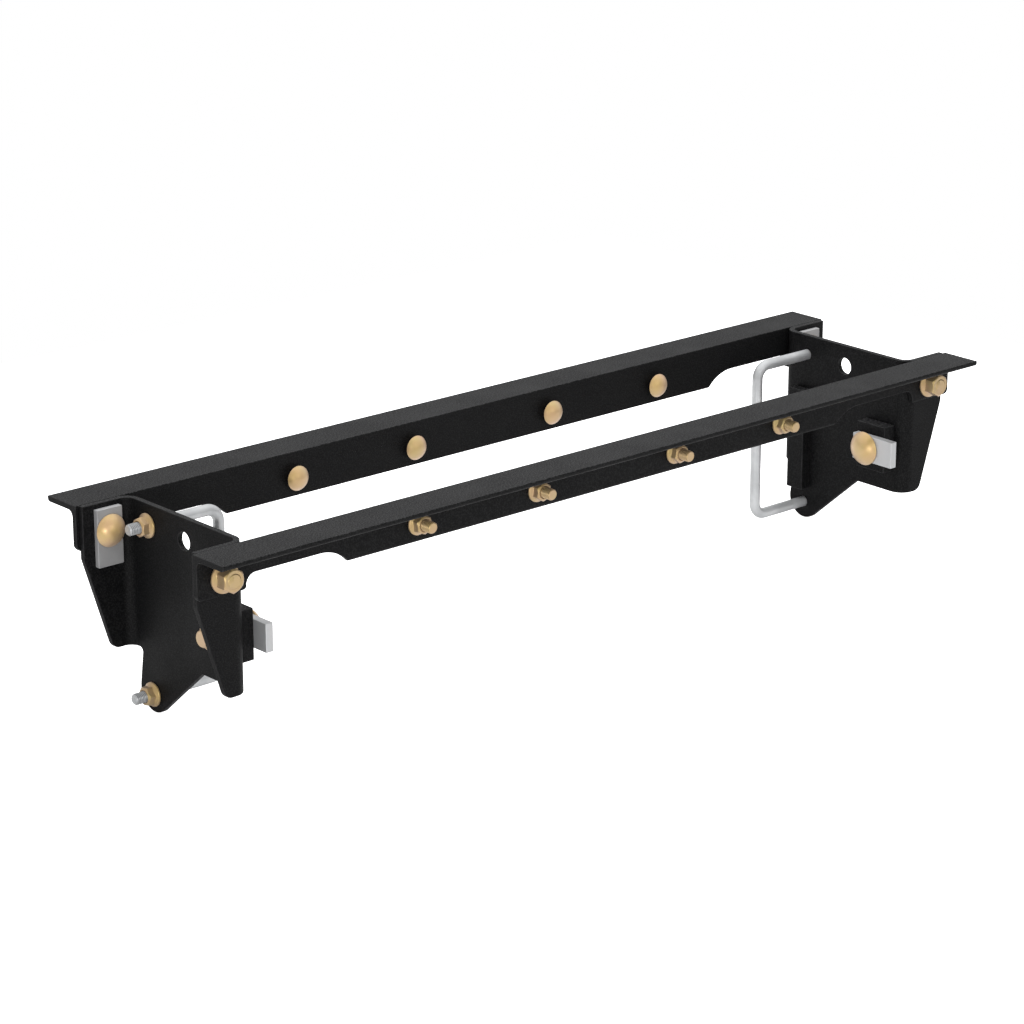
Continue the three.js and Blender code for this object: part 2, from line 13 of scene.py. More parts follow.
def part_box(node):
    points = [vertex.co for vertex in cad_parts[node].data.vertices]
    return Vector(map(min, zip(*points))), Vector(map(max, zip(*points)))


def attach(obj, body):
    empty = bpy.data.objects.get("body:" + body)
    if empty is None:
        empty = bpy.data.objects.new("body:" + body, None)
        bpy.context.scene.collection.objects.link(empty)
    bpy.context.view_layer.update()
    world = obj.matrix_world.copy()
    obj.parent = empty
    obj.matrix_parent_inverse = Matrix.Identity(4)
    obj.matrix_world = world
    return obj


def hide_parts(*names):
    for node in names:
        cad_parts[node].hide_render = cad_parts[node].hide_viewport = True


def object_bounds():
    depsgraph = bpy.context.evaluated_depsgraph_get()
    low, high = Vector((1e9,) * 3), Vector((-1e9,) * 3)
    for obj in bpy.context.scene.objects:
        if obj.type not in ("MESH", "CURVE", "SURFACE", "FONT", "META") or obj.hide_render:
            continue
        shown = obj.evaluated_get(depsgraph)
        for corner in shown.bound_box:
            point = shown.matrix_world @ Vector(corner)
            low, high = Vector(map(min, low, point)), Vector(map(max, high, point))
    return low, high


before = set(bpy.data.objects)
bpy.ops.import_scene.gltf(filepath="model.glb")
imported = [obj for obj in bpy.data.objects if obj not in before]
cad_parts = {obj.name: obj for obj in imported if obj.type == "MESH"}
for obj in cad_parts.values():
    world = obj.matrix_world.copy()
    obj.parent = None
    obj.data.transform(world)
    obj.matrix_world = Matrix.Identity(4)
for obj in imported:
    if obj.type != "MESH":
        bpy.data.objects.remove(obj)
CAD_BOUNDS = [list(corner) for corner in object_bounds()]

bl_info = {
    "name": "Hitch Rail Set",
    "version": (1, 0, 0),
    "blender": (4, 5, 0),
    "location": "View3D > Sidebar > Hitch Rails",
    "description": "Builds the rails, brackets, U-bolts and fasteners of a fifth wheel hitch's rail set",
    "category": "Object",
}

MM = 0.001
CUT_PAST = 1 * MM           # how far a cutter reaches past what it cuts
HOLE_CLEARANCE = 0.4 * MM   # round a shank in its hole
WELD = 0.02 * MM            # corners closer than this are one
NODE_SPACING = (190, -230)  # between nodes in the editor
NODES_IN_A_ROW = 9
SIDES = {"left": -1, "right": 1}
ENDS = {"rear": 1, "front": -1}
BODY = "bracket_set"


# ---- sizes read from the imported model

def span(node, axis):
    """Lowest and highest value of a node along one axis, 0 for X, 1 for Y and 2 for Z."""
    low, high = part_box(node)
    return low[axis], high[axis]


def middle(node, axis):
    low, high = span(node, axis)
    return (low + high) / 2


RAIL_HALF = span("cross_rail_rear", 0)[1]
WEB_INNER, RAIL_OUTER = span("cross_rail_rear", 1)
RAIL_DEPTH = -span("cross_rail_rear", 2)[0]
PLATE_INNER, FLANGE_EDGE = span("side_bracket_right", 0)
FLANGE_FACE = span("side_bracket_right", 1)[1]
LOBE_BOTTOM = span("side_bracket_right", 2)[0]
U_LEG_Y = middle("u_bolt_right", 1)
U_UPPER_Z = middle("u_bolt_nut_right_upper", 2)
U_LOWER_Z = middle("u_bolt_nut_right_lower", 2)
U_BACK_X, U_TIP_X = span("u_bolt_right", 0)
CLAMP_Y = middle("frame_bolt_right", 1)
CLAMP_Z = middle("frame_bolt_right", 2)
END_BOLT_X = middle("rail_end_bolt_rear_right", 0)
END_BOLT_Z = middle("rail_end_bolt_rear_right", 2)
HITCH_BOLT_Z = middle("hitch_bolt_rear_4", 2)
HITCH_BOLT_XS = [middle(f"hitch_bolt_rear_{number}", 0) for number in (3, 4)]
THREADED_LEG = 31 * MM      # threaded length of a U-bolt's leg
HITCH_BOLT_THREAD = 15 * MM
END_BOLT_THREAD = 8 * MM
FRAME_BOLT_THREAD = 14 * MM


# ---- settings a user would change

class SteelSizes(bpy.types.PropertyGroup):
    rail_wall: FloatProperty(
        name="Rail Wall", description="Thickness of the angle's two legs", default=6.35 * MM, unit="LENGTH")
    rail_toe: FloatProperty(
        name="Rail Toe Radius", description="Rounding on the angle's two toes", default=4 * MM, unit="LENGTH")
    rail_fillet: FloatProperty(
        name="Rail Fillet Radius", description="Fillet inside the angle", default=7 * MM, unit="LENGTH")
    relief_ceiling: FloatProperty(
        name="Relief Ceiling", description="Height of the relief's flat top under the rail's top face",
        default=33.7 * MM, unit="LENGTH")
    relief_tip: FloatProperty(
        name="Relief Tip", description="Distance from the middle of the rail to the relief's sharp tip",
        default=364 * MM, unit="LENGTH")
    relief_sweep: FloatProperty(
        name="Relief Sweep Radius", description="Radius of the relief's long curve", default=50.8 * MM,
        unit="LENGTH")
    plate_wall: FloatProperty(
        name="Bracket Wall", description="Thickness of the bent plate", default=6.35 * MM, unit="LENGTH")
    bend_inside: FloatProperty(
        name="Bend Radius", description="Inside radius of the bracket's bends", default=11 * MM,
        unit="LENGTH")
    flange_height: FloatProperty(
        name="Flange Height", description="Height of the bracket's flanges", default=165 * MM, unit="LENGTH")
    lobe_radius: FloatProperty(
        name="Lobe Radius", description="Radius of the lobe round the lower U-bolt leg", default=24 * MM,
        unit="LENGTH")
    edge_softness: FloatProperty(
        name="Edge Softness", description="Rounding left on cut steel edges by the coating", default=0.7 * MM,
        unit="LENGTH")
    arc_steps: IntProperty(
        name="Arc Steps", description="Straight steps in each rounded corner", default=10, min=3, max=32)
    rod_steps: IntProperty(
        name="Rod Steps", description="Straight steps around each rod, bolt and nut", default=48, min=12)
    thread_steps: IntProperty(
        name="Thread Steps", description="Rings in one turn of a thread", default=8, min=4, max=16)


class FinishColours(bpy.types.PropertyGroup):
    coat: FloatVectorProperty(
        name="Powder Coat", description="Black coat on the rails, brackets, spacers and pads",
        subtype="COLOR", default=(0.0036, 0.0036, 0.0039), min=0, max=1)
    # The grain's pale high points are also painted top light: faces that point up show more of them.
    coat_grain: FloatVectorProperty(
        name="Powder Coat Grain", description="High points of the coat's fine texture", subtype="COLOR",
        default=(0.050, 0.050, 0.051), min=0, max=1)
    # Paler coat along cut edges: a thin coat there, and a painted edge highlight.
    coat_edge: FloatVectorProperty(
        name="Powder Coat Edge", description="Thin coat along cut edges", subtype="COLOR",
        default=(0.028, 0.028, 0.029), min=0, max=1)
    gold: FloatVectorProperty(
        name="Yellow Zinc", description="Yellow zinc plate on bolts and nuts", subtype="COLOR",
        default=(0.60, 0.42, 0.16), min=0, max=1)
    gold_rose: FloatVectorProperty(
        name="Yellow Zinc Rose", description="Rose patches in the yellow plate", subtype="COLOR",
        default=(0.62, 0.41, 0.21), min=0, max=1)
    gold_green: FloatVectorProperty(
        name="Yellow Zinc Green", description="Greenish patches in the yellow plate", subtype="COLOR",
        default=(0.55, 0.43, 0.17), min=0, max=1)
    # The pale rose at a slant is partly the chromate film's own shift and partly a painted reflection.
    gold_slant: FloatVectorProperty(
        name="Yellow Zinc At A Slant", description="Pale rose of the yellow plate seen at a slant",
        subtype="COLOR", default=(0.70, 0.52, 0.40), min=0, max=1)
    zinc: FloatVectorProperty(
        name="Clear Zinc", description="Plate washers and clamp blocks", subtype="COLOR",
        default=(0.295, 0.295, 0.30), min=0, max=1)
    zinc_pale: FloatVectorProperty(
        name="Clear Zinc Bloom", description="Paler bloom on clear zinc", subtype="COLOR",
        default=(0.35, 0.35, 0.355), min=0, max=1)
    block: FloatVectorProperty(
        name="Clamp Block Zinc", description="Clear zinc on the clamp blocks", subtype="COLOR",
        default=(0.53, 0.53, 0.535), min=0, max=1)
    rod: FloatVectorProperty(
        name="U-Bolt Zinc", description="Bright zinc on the U-bolts", subtype="COLOR",
        default=(0.50, 0.51, 0.52), min=0, max=1)
    rod_pale: FloatVectorProperty(
        name="U-Bolt Zinc Bloom", description="Paler bloom on the U-bolts", subtype="COLOR",
        default=(0.62, 0.63, 0.64), min=0, max=1)


class StageSettings(bpy.types.PropertyGroup):
    floor_colour: FloatVectorProperty(
        name="Floor", description="Plain pale floor and backdrop", subtype="COLOR",
        default=(0.72, 0.72, 0.72), min=0, max=1)
    sky_strength: FloatProperty(
        name="Sky Strength", description="Even light from all round", default=0.60, min=0)
    key_power: FloatProperty(
        name="Key Power", description="Soft box in front of the set", default=11, min=0, unit="POWER")
    top_power: FloatProperty(
        name="Top Power", description="Wide soft box overhead", default=130, min=0, unit="POWER")
    low_power: FloatProperty(
        name="Low Light Power", description="Small soft box low on the front left", default=23, min=0,
        unit="POWER")
    lens: FloatProperty(
        name="Lens", description="Focal length on a 36 mm sensor, in millimetres", default=121.99, min=20)


# ---- outlines and solids

def rounded(corners, steps):
    """Points of a closed outline; a corner (a, b, radius) is rounded by that radius."""
    points = []
    for number, (a, b, *rest) in enumerate(corners):
        corner = Vector((a, b))
        if not rest:
            points.append(corner)
            continue
        radius = rest[0]
        back = (Vector(corners[number - 1][:2]) - corner).normalized()
        ahead = (Vector(corners[(number + 1) % len(corners)][:2]) - corner).normalized()
        half = back.angle(ahead) / 2
        centre = corner + (back + ahead).normalized() * (radius / math.sin(half))
        start = corner + back * (radius / math.tan(half)) - centre
        turn = math.copysign(math.pi - 2 * half, ahead.x * back.y - ahead.y * back.x)
        for step in range(steps + 1):
            points.append(centre + Matrix.Rotation(turn * step / steps, 2) @ start)
    return points


def arc(a, b, radius, start, end, steps):
    """Corners along an arc about (a, b), from one angle to another."""
    angles = [start + (end - start) * step / steps for step in range(steps + 1)]
    return [(a + radius * math.cos(angle), b + radius * math.sin(angle)) for angle in angles]


def disc(a, b, radius, steps):
    return arc(a, b, radius, 0, math.tau, steps)[:-1]


def bored(size):
    """Radius of the hole that a bolt's shank passes, or half the side of a square one."""
    return size["shank"] * MM + HOLE_CLEARANCE


def oblong(low_a, high_a, low_b, high_b):
    """The four corners of a rectangle."""
    return [(low_a, low_b), (high_a, low_b), (high_a, high_b), (low_a, high_b)]


def square(a, b, half):
    return oblong(a - half, a + half, b - half, b + half)


AXIS_FRAMES = {
    "x": lambda a, b, along: (along, a, b),
    "y": lambda a, b, along: (a, along, b),
    "z": lambda a, b, along: (a, b, along),
}


def prism(points, axis, low, high):
    """A mesh object: an outline swept along one axis, given in the other two axes in X, Y, Z order."""
    mesh = bpy.data.meshes.new("prism")
    form = bmesh.new()
    place = AXIS_FRAMES[axis]
    near = [form.verts.new(place(point[0], point[1], low)) for point in points]
    far = [form.verts.new(place(point[0], point[1], high)) for point in points]
    form.faces.new(near)
    form.faces.new(far)
    for number in range(len(points)):
        following = (number + 1) % len(points)
        form.faces.new((near[number], near[following], far[following], far[number]))
    bmesh.ops.recalc_face_normals(form, faces=form.faces)
    form.to_mesh(mesh)
    form.free()
    return linked("prism", mesh)


def linked(name, mesh):
    piece = bpy.data.objects.new(name, mesh)
    bpy.context.scene.collection.objects.link(piece)
    return piece


def baked(piece):
    """Applies an object's modifiers to a plain mesh of its own."""
    graph = bpy.context.evaluated_depsgraph_get()
    mesh = bpy.data.meshes.new_from_object(piece.evaluated_get(graph), preserve_all_data_layers=True,
                                           depsgraph=graph)
    mesh.name = piece.name
    piece.modifiers.clear()
    piece.data = mesh
    return piece


def carve(piece, tools, operation="DIFFERENCE"):
    """Cuts the tools out of a solid, or keeps what is inside all of them."""
    for tool in tools:
        modifier = piece.modifiers.new("Carve", "BOOLEAN")
        modifier.operation = operation
        modifier.solver = "EXACT"
        modifier.object = tool
    baked(piece)
    for tool in tools:
        bpy.data.objects.remove(tool)
    return piece


def soften(piece, width, segments=3, angle=32):
    """Rounds cut edges, marks the rounded faces in the face attribute "edge", and evens the shading."""
    form = bmesh.new()
    form.from_mesh(piece.data)
    bmesh.ops.remove_doubles(form, verts=form.verts, dist=WELD)
    bmesh.ops.dissolve_degenerate(form, edges=form.edges, dist=WELD)
    form.to_mesh(piece.data)
    form.free()
    piece.data.shade_smooth()
    piece.data.materials.clear()
    for _ in range(2):
        piece.data.materials.append(None)
    bevel = piece.modifiers.new("Soften", "BEVEL")
    bevel.width = width
    bevel.segments = segments
    bevel.limit_method = "ANGLE"
    bevel.angle_limit = math.radians(angle)
    bevel.use_clamp_overlap = False
    bevel.material = 1
    evened(piece)
    mesh = piece.data
    mark = mesh.attributes.new("edge", "FLOAT", "FACE")
    for face in mesh.polygons:
        mark.data[face.index].value = float(face.material_index == 1)
        face.material_index = 0
    mesh.materials.clear()
    return piece


def evened(piece):
    """Evens the shading of flat faces, and keeps the result as a plain mesh."""
    weigh = piece.modifiers.new("Even Shading", "WEIGHTED_NORMAL")
    weigh.weight = 50
    weigh.keep_sharp = True
    return baked(piece)


def mirrored(piece, name):
    """A copy of a piece, mirrored from the right side to the left."""
    mesh = piece.data.copy()
    mesh.transform(Matrix.Scale(-1, 4, Vector((1, 0, 0))))
    mesh.flip_normals()
    return evened(linked(name, mesh))


def turned(piece, name):
    """A copy of a piece, turned half a turn from the rear end to the front."""
    mesh = piece.data.copy()
    mesh.transform(Matrix.Rotation(math.pi, 4, "Z"))
    return linked(name, mesh)


def settle(piece, name, material, nodes, body=BODY):
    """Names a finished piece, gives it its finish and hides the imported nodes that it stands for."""
    piece.name = name
    piece.data.name = name
    piece.data.materials.clear()
    piece.data.materials.append(material)
    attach(piece, body)
    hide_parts(*nodes)
    return piece


def settle_pair(right, name, material, node, own_body=False):
    """Settles a piece from the right side and its mirrored copy on the left."""
    left = mirrored(right, f"left_{name}")
    for piece, side in ((right, "right"), (left, "left")):
        stood_for = f"{node}_{side}"
        settle(piece, f"{side}_{name}", material, [stood_for], stood_for if own_body else BODY)


# ---- node helpers

def put(tree, kind, values=None, **settings):
    """Adds a node, with its settings, and its inputs set or linked by name or number."""
    node = tree.nodes.new(kind)
    row, column = divmod(len(tree.nodes), NODES_IN_A_ROW)
    node.location = (NODE_SPACING[0] * column, NODE_SPACING[1] * row)
    for key, value in settings.items():
        setattr(node, key, value)
    for key, value in (values or {}).items():
        if isinstance(value, bpy.types.NodeSocket):
            tree.links.new(value, node.inputs[key])
        else:
            node.inputs[key].default_value = value
    return node


def sums(tree, operation, *values):
    """One Math node's output."""
    return put(tree, "ShaderNodeMath", dict(enumerate(values)), operation=operation).outputs[0]


def ramp(tree, value, low, high, first=0.0, last=1.0):
    """A value that runs from first to last while another runs from low to high."""
    return put(tree, "ShaderNodeMapRange", {0: value, 1: low, 2: high, 3: first, 4: last}).outputs[0]


def noise(tree, vector, scale, detail):
    return put(tree, "ShaderNodeTexNoise", {"Vector": vector, "Scale": scale, "Detail": detail}).outputs[0]


def parts(tree, vector):
    """The three parts of a vector."""
    return put(tree, "ShaderNodeSeparateXYZ", {0: vector}).outputs


def sockets(tree, inputs, outputs):
    """Gives a tree its named inputs and outputs."""
    for name, kind, default in inputs:
        socket = tree.interface.new_socket(name, in_out="INPUT", socket_type=kind)
        if default is not None:
            socket.default_value = default
    for name, kind in outputs:
        tree.interface.new_socket(name, in_out="OUTPUT", socket_type=kind)
    return put(tree, "NodeGroupInput").outputs, put(tree, "NodeGroupOutput").inputs


def grow(piece, tree, values):
    """Runs a Geometry Nodes tree on a piece, its inputs set by name, and keeps the result as a plain mesh."""
    modifier = piece.modifiers.new(tree.name, "NODES")
    modifier.node_group = tree
    for item in tree.interface.items_tree:
        if item.in_out == "INPUT" and item.name in values:
            modifier[item.identifier] = values[item.name]
    return baked(piece)


# ---- Geometry Nodes trees

THREAD_INPUTS = [("Radius", "NodeSocketFloat", 6.35 * MM), ("Pitch", "NodeSocketFloat", 1.95 * MM),
                 ("Depth", "NodeSocketFloat", 1.0 * MM), ("Length", "NodeSocketFloat", 20 * MM),
                 ("Chamfer", "NodeSocketFloat", 1.4 * MM)]
THREAD_DEPTH = 0.5      # of the pitch
THREAD_FLAT = 0.12      # share of a flank that is flat at the crest, and at the root
THREAD_RUNOUT = 1.5     # turns in which the thread dies out
SKIN_BAND = 0.2 * MM    # points as near to the rod's radius as this are its skin
LEAST_RADIUS = 1e-5     # keeps points on the rod's axis from being divided by nothing
TIP_SHADE = 0.2         # how dark the chamfered tip is, where a groove's floor is 1


def thread_group():
    """How far a rolled thread lies under the rod's surface, from the place along and around the rod."""
    name = "Rolled Thread"
    if name in bpy.data.node_groups:
        return bpy.data.node_groups[name]
    tree = bpy.data.node_groups.new(name, "GeometryNodeTree")
    given, result = sockets(tree, [
        ("From Tip", "NodeSocketFloat", 0.0), ("Around", "NodeSocketFloat", 0.0), *THREAD_INPUTS[1:],
    ], [("Below Surface", "NodeSocketFloat")])
    turn = sums(tree, "DIVIDE", given["Around"], math.tau)
    rise = sums(tree, "DIVIDE", given["From Tip"], given["Pitch"])
    phase = sums(tree, "FRACT", sums(tree, "ADD", rise, turn))
    flank = sums(tree, "MULTIPLY", sums(tree, "ABSOLUTE", sums(tree, "SUBTRACT", phase, 0.5)), 2)
    shaped = ramp(tree, flank, THREAD_FLAT, 1 - THREAD_FLAT)
    left = sums(tree, "SUBTRACT", given["Length"], given["From Tip"])
    runout = ramp(tree, left, 0.0, sums(tree, "MULTIPLY", given["Pitch"], THREAD_RUNOUT))
    groove = sums(tree, "MULTIPLY", sums(tree, "MULTIPLY", shaped, given["Depth"]), runout)
    tip = sums(tree, "SUBTRACT", given["Chamfer"], given["From Tip"])
    tree.links.new(sums(tree, "MAXIMUM", groove, tip), result["Below Surface"])
    return tree


def sunk(tree, given, geometry, from_tip, across_a, across_b, direction):
    """Moves a rod's skin in to the thread's surface, and stores painted shade for its grooves and its
    chamfered tip in the attribute "groove". The two across values are distances from the rod's axis."""
    around = sums(tree, "ARCTAN2", across_a, across_b)
    group = put(tree, "GeometryNodeGroup", node_tree=thread_group())
    links = {"From Tip": from_tip, "Around": around}
    links |= {key: given[key] for key in ("Pitch", "Depth", "Length", "Chamfer")}
    for key, socket in links.items():
        tree.links.new(socket, group.inputs[key])
    below = group.outputs[0]
    out = sums(tree, "SQRT", sums(tree, "ADD", sums(tree, "MULTIPLY", across_a, across_a),
                                  sums(tree, "MULTIPLY", across_b, across_b)))
    off_skin = sums(tree, "ABSOLUTE", sums(tree, "SUBTRACT", out, given["Radius"]))
    skin = sums(tree, "LESS_THAN", off_skin, SKIN_BAND)
    threaded = sums(tree, "MULTIPLY", skin, sums(tree, "LESS_THAN", from_tip, given["Length"]))
    share = sums(tree, "DIVIDE", sums(tree, "MULTIPLY", below, -1), sums(tree, "MAXIMUM", out, LEAST_RADIUS))
    offset = put(tree, "ShaderNodeVectorMath", {0: direction, "Scale": share}, operation="SCALE").outputs[0]
    # Painted shade: deeper in a groove is darker, and the chamfered tip is darkened too.
    depth = sums(tree, "MULTIPLY", threaded, sums(tree, "DIVIDE", below, given["Depth"]))
    groove = sums(tree, "MULTIPLY", depth, sums(tree, "GREATER_THAN", from_tip, given["Chamfer"]))
    tip = sums(tree, "MULTIPLY", sums(tree, "LESS_THAN", from_tip, given["Chamfer"]), TIP_SHADE)
    painted_thread_shade = sums(tree, "MINIMUM", sums(tree, "ADD", groove, tip), 1)
    marked = put(tree, "GeometryNodeStoreNamedAttribute", {
        "Geometry": geometry, "Name": "groove", "Value": painted_thread_shade}, data_type="FLOAT", domain="POINT").outputs[0]
    return put(tree, "GeometryNodeSetPosition", {
        "Geometry": marked, "Selection": threaded, "Offset": offset}).outputs[0]


def thread_tree():
    """Threads the tip of a bolt that hangs down along Z."""
    tree = bpy.data.node_groups.new("Thread A Bolt", "GeometryNodeTree")
    given, result = sockets(
        tree, [("Geometry", "NodeSocketGeometry", None), *THREAD_INPUTS, ("Tip", "NodeSocketFloat", 0.0)],
        [("Geometry", "NodeSocketGeometry")])
    place = parts(tree, put(tree, "GeometryNodeInputPosition").outputs[0])
    from_tip = sums(tree, "SUBTRACT", place[2], given["Tip"])
    direction = put(tree, "ShaderNodeCombineXYZ", {0: place[0], 1: place[1]}).outputs[0]
    cut = sunk(tree, given, given["Geometry"], from_tip, place[0], place[1], direction)
    tree.links.new(cut, result[0])
    return tree


def finish_tree(tree, geometry, given, result):
    """Ends a tree: instances made real, and the material set."""
    real = put(tree, "GeometryNodeRealizeInstances", {"Geometry": geometry}).outputs[0]
    done = put(tree, "GeometryNodeSetMaterial", {"Geometry": real, "Material": given["Material"]}).outputs[0]
    tree.links.new(done, result[0])


def rod_tree():
    """Sweeps a round rod along a path and threads both of its ends. The path's two legs run along X."""
    tree = bpy.data.node_groups.new("Threaded U-Bolt", "GeometryNodeTree")
    given, result = sockets(tree, [
        ("Geometry", "NodeSocketGeometry", None), *THREAD_INPUTS, ("Around Steps", "NodeSocketInt", 32),
        ("Tip X", "NodeSocketFloat", 0.5), ("Leg Y", "NodeSocketFloat", 0.06),
        ("Upper Z", "NodeSocketFloat", -0.02), ("Lower Z", "NodeSocketFloat", -0.2),
        ("Material", "NodeSocketMaterial", None),
    ], [("Geometry", "NodeSocketGeometry")])
    path = put(tree, "GeometryNodeMeshToCurve", {0: given["Geometry"]}).outputs[0]
    ring = put(tree, "GeometryNodeCurvePrimitiveCircle", {
        "Resolution": given["Around Steps"], "Radius": given["Radius"]}).outputs[0]
    rod = put(tree, "GeometryNodeCurveToMesh", {
        "Curve": path, "Profile Curve": ring, "Fill Caps": True}).outputs[0]
    place = parts(tree, put(tree, "GeometryNodeInputPosition").outputs[0])
    half = sums(tree, "MULTIPLY", sums(tree, "ADD", given["Upper Z"], given["Lower Z"]), 0.5)
    upper = sums(tree, "GREATER_THAN", place[2], half)
    height = sums(tree, "SUBTRACT", given["Upper Z"], given["Lower Z"])
    leg = sums(tree, "ADD", given["Lower Z"], sums(tree, "MULTIPLY", upper, height))
    across = sums(tree, "SUBTRACT", place[1], given["Leg Y"])
    above = sums(tree, "SUBTRACT", place[2], leg)
    direction = put(tree, "ShaderNodeCombineXYZ", {1: across, 2: above}).outputs[0]
    from_tip = sums(tree, "SUBTRACT", given["Tip X"], place[0])
    cut = sunk(tree, given, rod, from_tip, across, above, direction)
    smooth = put(tree, "GeometryNodeSetShadeSmooth", {"Geometry": cut}).outputs[0]
    finish_tree(tree, smooth, given, result)
    return tree


def set_out_tree():
    """Sets out copies of a fastener in mirrored pairs. With Across 1 each pair of rows faces the front and
    the rear of the set; with Across 0 each copy faces out to its own side."""
    name = "Set Out Fasteners"
    if name in bpy.data.node_groups:
        return bpy.data.node_groups[name]
    tree = bpy.data.node_groups.new(name, "GeometryNodeTree")
    given, result = sockets(tree, [
        ("Geometry", "NodeSocketGeometry", None), ("Count", "NodeSocketInt", 2),
        ("Across", "NodeSocketFloat", 1.0), ("X", "NodeSocketFloat", 0.1), ("X Step", "NodeSocketFloat", 0.1),
        ("Y", "NodeSocketFloat", 0.1),
        ("Z", "NodeSocketFloat", 0.0), ("Lie X", "NodeSocketFloat", 0.0), ("Lie Y", "NodeSocketFloat", 0.0),
        ("Spin", "NodeSocketFloat", 0.0), ("Seed", "NodeSocketInt", 7),
        ("Material", "NodeSocketMaterial", None),
    ], [("Geometry", "NodeSocketGeometry")])
    index = put(tree, "GeometryNodeInputIndex").outputs[0]
    odd = sums(tree, "MODULO", index, 2)
    pair = sums(tree, "FLOOR", sums(tree, "DIVIDE", index, 2))
    front = sums(tree, "MULTIPLY", sums(tree, "MODULO", pair, 2), given["Across"])
    row = sums(tree, "FLOOR", sums(tree, "DIVIDE", pair, sums(tree, "ADD", given["Across"], 1)))
    side = sums(tree, "SUBTRACT", 1, sums(tree, "MULTIPLY", odd, 2))
    end = sums(tree, "SUBTRACT", 1, sums(tree, "MULTIPLY", front, 2))
    reach = sums(tree, "ADD", given["X"], sums(tree, "MULTIPLY", row, given["X Step"]))
    x, y = sums(tree, "MULTIPLY", side, reach), sums(tree, "MULTIPLY", end, given["Y"])
    spot = put(tree, "ShaderNodeCombineXYZ", {0: x, 1: y, 2: given["Z"]}).outputs[0]
    sideways = sums(tree, "MULTIPLY", odd, sums(tree, "SUBTRACT", 1, given["Across"]))
    turn = sums(tree, "MULTIPLY", sums(tree, "ADD", front, sideways), math.pi)
    facing = put(tree, "ShaderNodeCombineXYZ", {0: given["Lie X"], 1: given["Lie Y"], 2: turn}).outputs[0]
    facing = put(tree, "FunctionNodeEulerToRotation", {0: facing}).outputs[0]
    points = put(tree, "GeometryNodePoints", {"Count": given["Count"], "Position": spot}).outputs[0]
    copies = put(tree, "GeometryNodeInstanceOnPoints", {
        "Points": points, "Instance": given["Geometry"], "Rotation": facing}).outputs[0]
    chance = put(tree, "FunctionNodeRandomValue", {"ID": index, "Seed": given["Seed"]}, data_type="FLOAT")
    spin = sums(tree, "MULTIPLY", chance.outputs[1], given["Spin"])
    spin = put(tree, "ShaderNodeCombineXYZ", {2: spin}).outputs[0]
    spin = put(tree, "FunctionNodeEulerToRotation", {0: spin}).outputs[0]
    spun = put(tree, "GeometryNodeRotateInstances", {
        "Instances": copies, "Rotation": spin, "Local Space": True}).outputs[0]
    finish_tree(tree, spun, given, result)
    return tree


# ---- shader groups and finishes

CLOUD_LOW, CLOUD_HIGH = 0.35, 0.65      # the part of a noise's range that is spread over 0 to 1
PIT_SHARE = 0.4                         # share of the pits in a finish's height, beside the grain's 1
# Painted shade in thread grooves and on chamfered tips.
GROOVE_SHADE_COLOUR = (0.05, 0.05, 0.05)
TOP_LIGHT_FULL_NORMAL = 0.9                      # a face whose normal is this upright shows all of the coat's grain and its painted top light
UPRIGHT_GRAIN_TOP_LIGHT = 0.22                    # share of the grain, and of its painted top light, that an upright face shows
ZINC_EDGE_WEAR_AND_HIGHLIGHT = 1.15                        # how much paler clear zinc is along its edges, as wear and as a painted edge highlight
ZINC_SPREAD = 0.1                       # between clear zinc's least and greatest roughness


def cloud_group():
    """Soft patches and fine grain on Object coordinates, each from 0 to 1, and a height for a Bump node."""
    name = "Patches And Grain"
    if name in bpy.data.node_groups:
        return bpy.data.node_groups[name]
    tree = bpy.data.node_groups.new(name, "ShaderNodeTree")
    given, result = sockets(tree, [
        ("Patch Scale", "NodeSocketFloat", 20.0), ("Grain Scale", "NodeSocketFloat", 900.0),
        ("Grain Low", "NodeSocketFloat", 0.35), ("Grain High", "NodeSocketFloat", 0.7),
    ], [("Patches", "NodeSocketFloat"), ("Grain", "NodeSocketFloat"), ("Height", "NodeSocketFloat")])
    place = put(tree, "ShaderNodeTexCoord").outputs["Object"]
    patches = noise(tree, place, given["Patch Scale"], detail=3.0)
    grain = noise(tree, place, given["Grain Scale"], detail=2.0)
    pits = put(tree, "ShaderNodeTexVoronoi", {"Vector": place, "Scale": given["Grain Scale"]}).outputs[0]
    height = sums(tree, "ADD", grain, sums(tree, "MULTIPLY", pits, PIT_SHARE))
    tree.links.new(ramp(tree, patches, CLOUD_LOW, CLOUD_HIGH), result["Patches"])
    tree.links.new(ramp(tree, grain, given["Grain Low"], given["Grain High"]), result["Grain"])
    tree.links.new(height, result["Height"])
    return tree


def worn_edge_group():
    """Mask for paler softened edges, from the face attribute "edge", broken up by noise: partly a thin coat
    there, partly a painted edge highlight.
    """
    name = "Worn Edge"
    if name in bpy.data.node_groups:
        return bpy.data.node_groups[name]
    tree = bpy.data.node_groups.new(name, "ShaderNodeTree")
    given, result = sockets(tree, [("Scale", "NodeSocketFloat", 90.0), ("Least", "NodeSocketFloat", 0.35)],
                            [("Mask", "NodeSocketFloat")])
    place = put(tree, "ShaderNodeTexCoord").outputs["Object"]
    edge = put(tree, "ShaderNodeAttribute", attribute_name="edge").outputs["Fac"]
    breaks = noise(tree, place, given["Scale"], detail=4.0)
    share = ramp(tree, breaks, CLOUD_LOW, CLOUD_HIGH, given["Least"])
    tree.links.new(sums(tree, "MULTIPLY", edge, share), result["Mask"])
    return tree


def blend(tree, mask, first, second):
    """A colour between two, by a mask."""
    values = {0: mask}
    for key, colour in {6: first, 7: second}.items():
        values[key] = colour if isinstance(colour, bpy.types.NodeSocket) else (*colour, 1.0)
    return put(tree, "ShaderNodeMix", values, data_type="RGBA").outputs[2]


